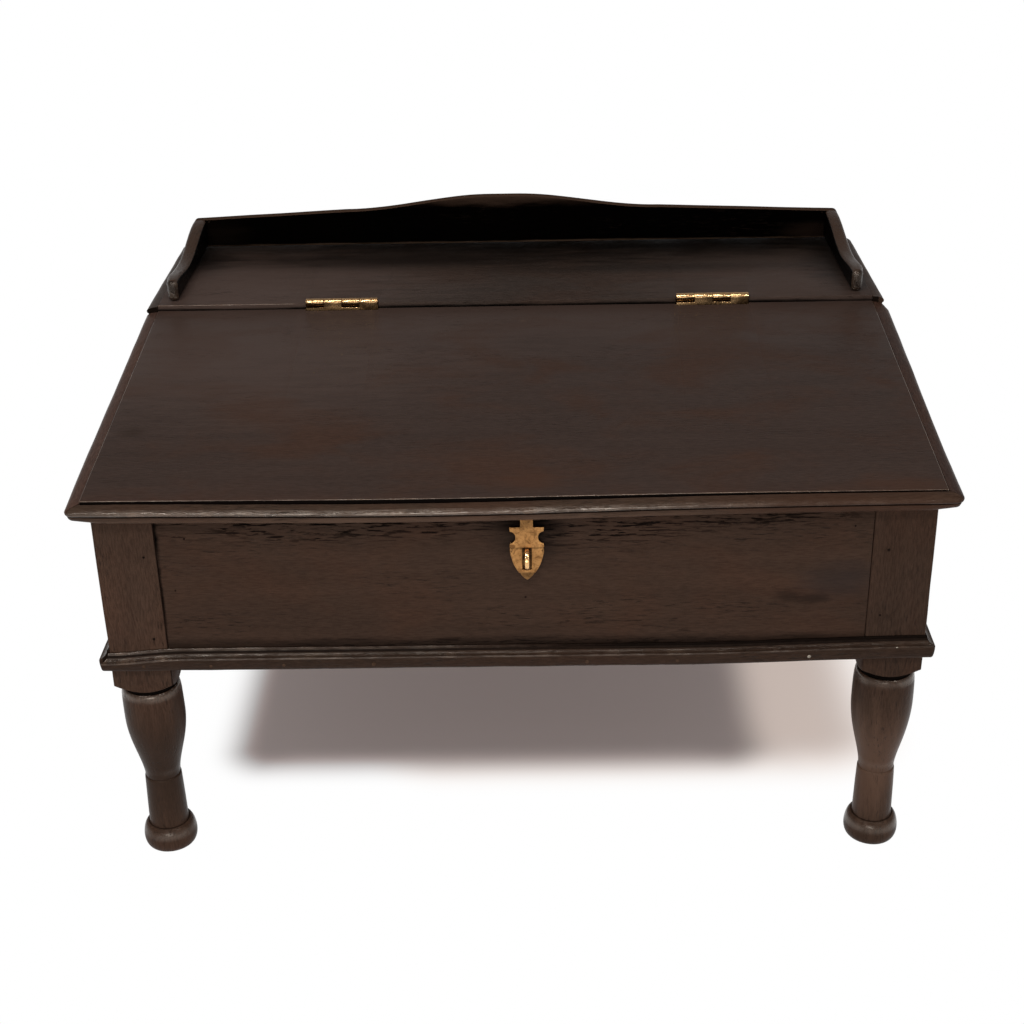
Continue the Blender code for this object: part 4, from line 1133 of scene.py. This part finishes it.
def make_nosing(section, y_quirk):
    """The lid's front strip, which hangs a little low and is cut away behind the hasp."""
    ring = [(-X_QUIRK - out, y_quirk - FIT_GAP / 2 - out, LID_TOP + up) for out, up in section]
    bm = sweep(ring, lambda point: Vector((-point.x, point.y, point.z)))
    slice_across(bm, 0)
    for vert in bm.verts:
        if vert.co.y > y_quirk - QUIRK_BACK:
            opening = smooth_step(LID_GAP_FROM, LID_GAP_TO, vert.co.x)
            vert.co.y -= LID_FRONT_GAP[0] + (LID_FRONT_GAP[1] - LID_FRONT_GAP[0]) * opening
    for side in (-1, 1):
        round_corner(bm, (side * X_TOP, lid_front_edge()), (side, -1), LID_CORNER)
        for margin in (0, HASP_RECESS_EDGE):
            cut(bm, (HASP_AXIS.x + side * (HASP_RECESS_HALF + margin), 0, 0), (1, 0, 0))
    mark_strip(bm, lambda point: y_quirk - FIT_GAP / 2 - point.y, LID_TOP,
               lambda point: 1.0 - NOSING_RUB_LOSS * smooth_step(0.0, NOSING_RUB_END, point.x))
    bm.normal_update()
    # Painted shade on the strip's back, in the gap to the lid board
    mark(bm, "grime_and_shade", [face for face in bm.faces if face.normal.y > 0.9], NOSING_BACK_SHADE)
    thin_ends(bm, lambda point: abs(point.x) - X_TOP)
    for vert in bm.verts:
        recessed = (abs(vert.co.x - HASP_AXIS.x) < HASP_RECESS_HALF + MERGE
                    and vert.co.z < LID_TOP - LID_THICKNESS + MERGE
                    and y_quirk - vert.co.y < HASP_RECESS_DEPTH + HASP_RECESS_MARGIN)
        if not recessed:
            vert.co.z -= droop(vert.co.x)
    wear(bm, STRIP_WAVE, 21.0)
    move(bm, LID_PLACE)
    reddened = [((-0.02, Y_FRONT, HASP_AXIS.z), (0.06, 0.05, 0.04), OLD_RED, 0.4),
                ((0.0, Y_FRONT, HASP_AXIS.z), (1.0, 0.05, 0.0070), dimmed(NOSING_BROWN, 1.6), 0.9),
                ((0.26, Y_FRONT, HASP_AXIS.z), (0.14, 0.05, 0.04), dimmed(OLD_RED, 0.7), 0.8)]
    wood = dark_wood("lid_front_wood", "x", 21.5, NOSING_BROWN, rub=0.3, gloss=0.32, polish=0.24,
                     shine=1.0, relief=0.0008, stain_and_shade_patches=reddened)
    piece("lid_front_moulding_run", bm, "lid", "dark_wood", wood, "lid_front_moulding")


def make_lid_side(name, side, section, y_quirk):
    """A side strip of the lid; the right one bows out and has lost its rear corner."""
    ring = [(side * (X_QUIRK + FIT_GAP / 2 + out), y_quirk + FIT_GAP - out, LID_TOP + up)
            for out, up in section]
    bm = sweep(ring, lambda point: Vector((point.x, lid_rear(point.z), point.z)))
    slice_across(bm, 1)
    round_corner(bm, (side * X_TOP, lid_front_edge()), (side, -1), LID_CORNER)
    mark_strip(bm, lambda point: abs(point.x) - X_QUIRK - FIT_GAP / 2, LID_TOP)
    thin_ends(bm, lambda point: lid_front_edge() - point.y)
    if side > 0:
        for vert in bm.verts:
            share = max(0, vert.co.x - X_QUIRK) / STRIP_WIDTH
            vert.co.x += SIDE_BOW * share * smooth_step(-SIDE_BOW_RUN, -REAR_CORNER_RUN, vert.co.y)
            vert.co.x -= REAR_CORNER_LOSS * share * smooth_step(-REAR_CORNER_RUN, 0, vert.co.y)
    for vert in bm.verts:
        vert.co.z -= droop(vert.co.x) * smooth_step(y_quirk + DROOP_REACH, y_quirk, vert.co.y)
    wear(bm, STRIP_WAVE, 22.0 + side)
    move(bm, LID_PLACE)
    tone = dimmed(SIDE_BROWN, 1.05 - 0.25 * side)
    wood = dark_wood(name + "_wood", "y", 22.5 + side, tone, streak=0.25, red=0.6, rub=0.4, gloss=0.36,
                     polish=0.18, relief=0.0006)
    piece(name + "_run", bm, "lid", "dark_wood", wood, name)


def make_lid():
    """The lid board and its three moulded strips, shaped flat and then set on the slope."""
    marks = [((-0.295, -0.142, 0.3345), (0.016, 0.011, 0.03), dimmed(WOOD_BROWN, 0.45), 0.6),
             ((0.013, -0.220, 0.3265), (0.040, 0.022, 0.03), OLD_RED, 0.55),
             ((0.284, -0.233, 0.3255), (0.050, 0.022, 0.03), OLD_RED, 0.5),
             ((-0.050, 0.036, 0.350), (0.012, 0.0022, 0.03), PORE_BLACK, 0.9),
             ((0.008, 0.042, 0.350), (0.005, 0.0028, 0.03), RUBBED_WOOD, 0.7),
             # The two paler patches towards the lid's rear are painted reflection of the pale wall
             ((-0.24, 0.0, 0.350), (0.30, 0.18, 0.08), dimmed(LID_BROWN, 1.35), 0.8),
             ((0.05, 0.05, 0.354), (0.50, 0.09, 0.08), dimmed(LID_BROWN, 1.15), 0.7)]
    wood = dark_wood("lid_wood", "x", 20.0, LID_BROWN, streak=0.18, fibre=0.5, red=0.55, pores=0.4, rub=0.6,
                     sheen=0.045, relief=0.00015, stain_and_shade_patches=marks)
    make_lid_board(wood)
    section = strip_section(LID_THICKNESS)
    section.append((HASP_RECESS_DEPTH, -LID_THICKNESS))
    y_quirk = lid_front_edge() + STRIP_WIDTH + FIT_GAP / 2
    make_nosing(section, y_quirk)
    make_lid_side("lid_left_moulding", -1, section, y_quirk)
    make_lid_side("lid_right_moulding", 1, section, y_quirk)


# Brass pieces

SLOT_DROP = 0.0358
HINGE_BROWN = (0.36, 0.165, 0.055)
HINGE_BRIGHT = {"left": (0.88, 0.540, 0.250), "right": (1.0, 0.620, 0.290)}


def worn_metal(node, body, material, arris=0.0002, segments=2):
    """A metal piece copied from the CAD with rubbed arrises; a hinge is darkened on its faces turned down and
    forward, soiled below its knuckles and in painted shade.
    """
    bm = cad_copy(node)
    soften(bm, arris, segments)
    if "hinge" in node:
        bm.normal_update()
        mark(bm, "grime_and_shade", [face for face in bm.faces if face.normal.y < -0.2 and face.normal.z < 0.45])
    piece(node + "_aged", bm, body, "brass", material, node)


def make_brass():
    """Hinges, hasp and staple."""
    slot_z = HASP_AXIS.z - SLOT_DROP
    # On the hasp: painted shade at its top under the nosing, and a thin dark line across it
    hasp_dirt_and_shade = [((HASP_AXIS.x, Y_FRONT, HASP_AXIS.z - 0.006), (0.012, 0.03, 0.010), 0.6),
                 ((HASP_AXIS.x, Y_FRONT, slot_z + 0.009), (0.030, 0.03, 0.0012), 0.5)]
    # On the staple plate: painted shade seen through the hasp's slot
    plate_shade = [((HASP_AXIS.x, Y_FRONT, slot_z), (0.020, 0.03, 0.026), 1.0)]
    hasp_brass = aged_brass("hasp_brass", (0.44, 0.220, 0.077), (0.12, 0.050, 0.016), 0.36, 0.0004,
                            hasp_dirt_and_shade)
    plate_brass = aged_brass("plate_brass", (0.46, 0.235, 0.085), (0.17, 0.075, 0.024), stain_and_shade_patches=plate_shade)
    black_brass = aged_brass("blackened_brass", (0.030, 0.018, 0.009), (0.012, 0.008, 0.005), 0.6)
    for side in ("right", "left"):
        hinge_brass = aged_brass(side + "_hinge_brass", HINGE_BRIGHT[side], HINGE_BROWN, 0.20, 0.00006)
        worn_metal(side + "_hinge_shelf_leaf", "desk", hinge_brass)
        worn_metal(side + "_hinge_lid_leaf", "lid", hinge_brass)
        worn_metal(side + "_hinge_pin", "desk", hinge_brass)
    worn_metal("hasp", "hasp", hasp_brass, 0.0003)
    worn_metal("hasp_leaf", "lid", black_brass)
    worn_metal("hasp_pin", "lid", black_brass)
    worn_metal("staple", "desk", hinge_brass, 0.0007, 3)
    worn_metal("staple_plate", "desk", plate_brass, 0.0003)


# Nails and screws

NAIL_RADIUS = 0.0017
NAIL_RISE = 0.0004
NAIL_SINK = 0.0005
BRIGHT_NAIL_SINK = 0.0008
SMALL_NAIL = 0.6
FACING_SITTER = Matrix.Rotation(radians(90), 4, "X")
BASE_NAIL_Z = 0.1845
BASE_NAILS = [(x, BASE_NAIL_Z) for x in (-0.2830, -0.2319, -0.1762, -0.1077, 0.0542, 0.1228)]
BRIGHT_NAILS = ((0.2221, 0.1867), (0.2879, 0.1929))
FRONT_NAILS = ((-0.2741, 0.2750), (-0.2535, 0.2466), (-0.2424, 0.2901), (-0.2744, 0.2047), (0.2765, 0.2733),
               (0.2744, 0.2180), (0.2505, 0.2936), (0.0084, 0.2374))
GALLERY_NAILS = ((-0.2950, 0.3868), (0.2950, 0.3868))
SCREW_RADIUS = 0.0026
SCREW_RISE = 0.0002
SCREW_SLOT = 0.0007
SCREW_PITCH = 0.0205
LEAF_FACE = 0.0020
LEAF_MIDDLE = -0.0092


def nail_row(name, spots, y, iron, scale=1.0):
    """Nail heads driven into an upright face, a little proud of it."""
    bm = new_mesh()
    bmesh.ops.create_cone(bm, cap_ends=True, segments=14, radius1=NAIL_RADIUS, radius2=NAIL_RADIUS * 0.8,
                          depth=NAIL_RISE * 4)
    soften(bm, NAIL_RISE * 0.6, 2)
    places = []
    for order, (x, z) in enumerate(spots):
        lean = Matrix.Rotation(0.08 * sin(7.0 * order), 4, "Z")
        size = Matrix.Scale(scale + 0.15 * sin(5.0 * order), 4)
        places.append(Matrix.Translation((x, y, z)) @ FACING_SITTER @ lean @ size)
    repeat(bm, places)
    piece(name, bm, "desk", None, iron)


def slotted_screws(name, body, places, brass):
    """Countersunk screw heads with a sawn slot."""
    bm = new_mesh()
    bmesh.ops.create_cone(bm, cap_ends=True, segments=24, radius1=SCREW_RADIUS, radius2=SCREW_RADIUS * 0.95,
                          depth=SCREW_RISE * 2)
    for side in (-1, 1):
        cut(bm, (0, side * SCREW_SLOT / 2, 0), (0, 1, 0))
    bm.normal_update()
    slot = [face for face in bm.faces if face.normal.z > 0.9
            and abs(face.calc_center_median().y) < SCREW_SLOT / 4]
    mark(bm, "grime_and_shade", slot)
    sunk = bmesh.ops.extrude_discrete_faces(bm, faces=slot)["faces"]
    floor = [vert for face in sunk for vert in face.verts]
    bmesh.ops.translate(bm, vec=(0, 0, -SCREW_RISE * 1.5), verts=floor)
    repeat(bm, places)
    piece(name, bm, body, "brass", brass)


def make_fasteners():
    """Nails, nail plugs and hinge screws."""
    iron = old_iron("nail_iron", (0.012, 0.008, 0.006), 0.0)
    plug = old_iron("nail_plug", (0.060, 0.036, 0.024), 0.0)
    bright = old_iron("rubbed_iron", (0.30, 0.26, 0.21), 0.9)
    nail_row("base_nails", BASE_NAILS, Y_BASE + NAIL_SINK, plug)
    nail_row("front_nails", FRONT_NAILS, Y_FRONT, iron, SMALL_NAIL)
    nail_row("gallery_nails", GALLERY_NAILS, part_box("gallery_back")[0].y, iron, SMALL_NAIL)
    nail_row("bright_nails", BRIGHT_NAILS, Y_BASE + BRIGHT_NAIL_SINK, bright)
    brass = aged_brass("screw_brass", (0.46, 0.27, 0.11), (0.22, 0.105, 0.038), 0.34)
    for side in ("left", "right"):
        middle = middle_of(side + "_hinge_pin").x
        for body, owner, way in (("desk", "shelf", 1), ("lid", "lid", -1)):
            places = []
            for order in (-1, 0, 1):
                spot = Vector((middle + order * SCREW_PITCH, way * LEAF_FACE, LEAF_MIDDLE))
                spot += Vector((0, HINGE_AXIS.y, HINGE_AXIS.z))
                lean = Matrix.Rotation(0.9 * order + way, 4, "Z")
                facing = Matrix.Rotation(way * radians(90), 4, "X")
                places.append(Matrix.Translation(spot) @ facing @ lean)
            slotted_screws(side + "_hinge_" + owner + "_screws", body, places, brass)


# Studio

AMBIENT = 0.30
WALL_HEIGHTS = (0.1, 0.6)
WALL_LEVELS = (0.6, 0.2)
FLOOR_HALF = 8
FLOOR_PAPER = (0.95, 0.85, 0.83, 1)

# Where the floor shows the desk's shadow under it, and a fainter one at its right; the boxes paint the
# shadows' outlines, and the glow tinted in and round them is painted shadow
SHADE_MIDDLE = (-0.023, 0.12, 0)
SHADE_HALF = (0.197, 0.205, 1)
SHADE_EDGE = 0.07
SHADE_LIFT = 0.03
SIDE_SHADE_MIDDLE = (0.10, 0.12, 0)
SIDE_SHADE_HALF = (0.16, 0.185, 1)
SIDE_SHADE_EDGE = 0.10
SIDE_SHADE_LIFT = 0.4
SHADE_TINT = (1, 0.68, 0.62)
SIDE_SHADE_TINT = (0.94, 0.77, 0.67)
PAPER_WHITE = (1, 1, 1)
TINT_REACH = 0.4

# Lamps: azimuth and elevation in degrees, distance, width, height and power
LAMPS = {"key_left": (-30, 47, 2.4, 0.3, 0.24, 9), "key_right": (41, 43, 2.4, 0.3, 0.24, 7.6),
         "front_fill": (-3, 15, 2.4, 1.0, 0.6, 13.5), "overhead": (-14, 68, 2.0, 1.2, 0.14, 11)}


def lit_beyond(tree, middle, half, edge):
    """How far the floor glows, from none inside a flat box to full beyond its soft edge; the box paints a
    shadow's outline.
    """
    away = tree.vector("ABSOLUTE", tree.vector("SUBTRACT", tree.spot(), middle))
    away = tree.vector("MAXIMUM", tree.vector("SUBTRACT", away, half), (0, 0, 0))
    return tree.remap(tree.vector("LENGTH", away), 0.0, edge)


def make_floor():
    """A white paper floor that shows the desk's real shadow where it does not glow; the glow's faded, tinted
    edges round the desk are painted shadow.
    """
    bm = bmesh.new()
    bmesh.ops.create_grid(bm, x_segments=1, y_segments=1, size=FLOOR_HALF)
    material, tree = new_material("studio_floor")
    path = tree.node("ShaderNodeLightPath").outputs
    seen = tree.math("ADD", path["Is Camera Ray"], path["Is Glossy Ray"])
    seen = tree.math("ADD", seen, path["Is Transmission Ray"])
    bright = lit_beyond(tree, SHADE_MIDDLE, SHADE_HALF, SHADE_EDGE)
    beside = lit_beyond(tree, SIDE_SHADE_MIDDLE, SIDE_SHADE_HALF, SIDE_SHADE_EDGE)
    paper = tree.node("ShaderNodeBsdfDiffuse", {"Color": FLOOR_PAPER})
    # Painted shadow: the glow is tinted warm near the desk's shadow and in the fainter one at its right
    tint = tree.mix(beside, SIDE_SHADE_TINT, PAPER_WHITE)
    tint = tree.mix(tree.remap(bright, 0.0, TINT_REACH), SHADE_TINT, tint)
    glow = tree.node("ShaderNodeEmission", {"Color": tint, "Strength": 1.0})
    open_lift = tree.remap(beside, 0.0, 1.0, SIDE_SHADE_LIFT, 1.0)
    lift = tree.times(seen, tree.remap(bright, 0.0, 1.0, SHADE_LIFT, open_lift))
    mixed = tree.node("ShaderNodeMixShader", {0: lift, 1: paper.outputs[0], 2: glow.outputs[0]})
    tree.surface(mixed)
    floor = add_mesh("floor", bm, material)


def make_world():
    """Soft light all round: white to the camera, and a wall that darkens upwards to what is glossy."""
    world = bpy.data.worlds.new("studio")
    world.use_nodes = True
    bpy.context.scene.world = world
    tree = Tree(world.node_tree)
    path = tree.node("ShaderNodeLightPath").outputs
    glow = world.node_tree.nodes["Background"]
    glow.inputs["Color"].default_value = (1, 1, 1, 1)
    way = tree.node("ShaderNodeTexCoord").outputs["Generated"]
    height = tree.node("ShaderNodeSeparateXYZ", {0: way}).outputs["Z"]
    wall = tree.remap(height, *WALL_HEIGHTS, *WALL_LEVELS)
    mirrored = tree.math("ADD", path["Is Glossy Ray"], path["Is Transmission Ray"])
    soft = tree.node("ShaderNodeMix", {"Factor": mirrored, "A": AMBIENT, "B": wall}, data_type="FLOAT")
    strength = tree.node("ShaderNodeMix", {"Factor": path["Is Camera Ray"], "A": soft.outputs[0], "B": 1.0},
                         data_type="FLOAT")
    tree.join(strength.outputs[0], glow.inputs["Strength"])


def make_lamp(name, azimuth, elevation, distance, width, height, power):
    """A soft rectangular lamp aimed at the middle of the floor."""
    azimuth, elevation = radians(azimuth), radians(elevation)
    light = bpy.data.lights.new(name, "AREA")
    light.shape = "RECTANGLE"
    light.size = width
    light.size_y = height
    light.energy = power
    lamp = add_object(name, light)
    way = Vector((sin(azimuth) * cos(elevation), -cos(azimuth) * cos(elevation), sin(elevation)))
    lamp.location = way * distance
    lamp.rotation_euler = (-way).to_track_quat("-Z", "Y").to_euler()


def make_camera():
    """A camera with the place, turn and lens of the photograph."""
    yaw, pitch, roll = CAMERA_YAW, CAMERA_PITCH, CAMERA_ROLL
    forward = Vector((sin(yaw) * cos(pitch), cos(yaw) * cos(pitch), -sin(pitch)))
    level = Vector((cos(yaw), -sin(yaw), 0))
    upright = level.cross(forward)
    right = cos(roll) * level + sin(roll) * upright
    up = -sin(roll) * level + cos(roll) * upright
    turn = Matrix((right, up, -forward)).transposed().to_4x4()
    data = bpy.data.cameras.new("camera")
    data.sensor_width = SENSOR_MM
    data.lens = FOCAL_PIXELS / FRAME_PIXELS * SENSOR_MM
    camera = add_object("camera", data)
    camera.matrix_world = Matrix.Translation(CAMERA_PLACE) @ turn
    bpy.context.scene.camera = camera


def make_studio():
    """Floor, soft light, lamps and camera."""
    make_floor()
    make_world()
    for name, values in LAMPS.items():
        make_lamp(name, *values)
    make_camera()
    bpy.context.scene.view_settings.view_transform = "Standard"


make_legs()
make_case()
make_base()
make_shelf()
make_gallery()
make_lid()
make_brass()
make_fasteners()
make_studio()
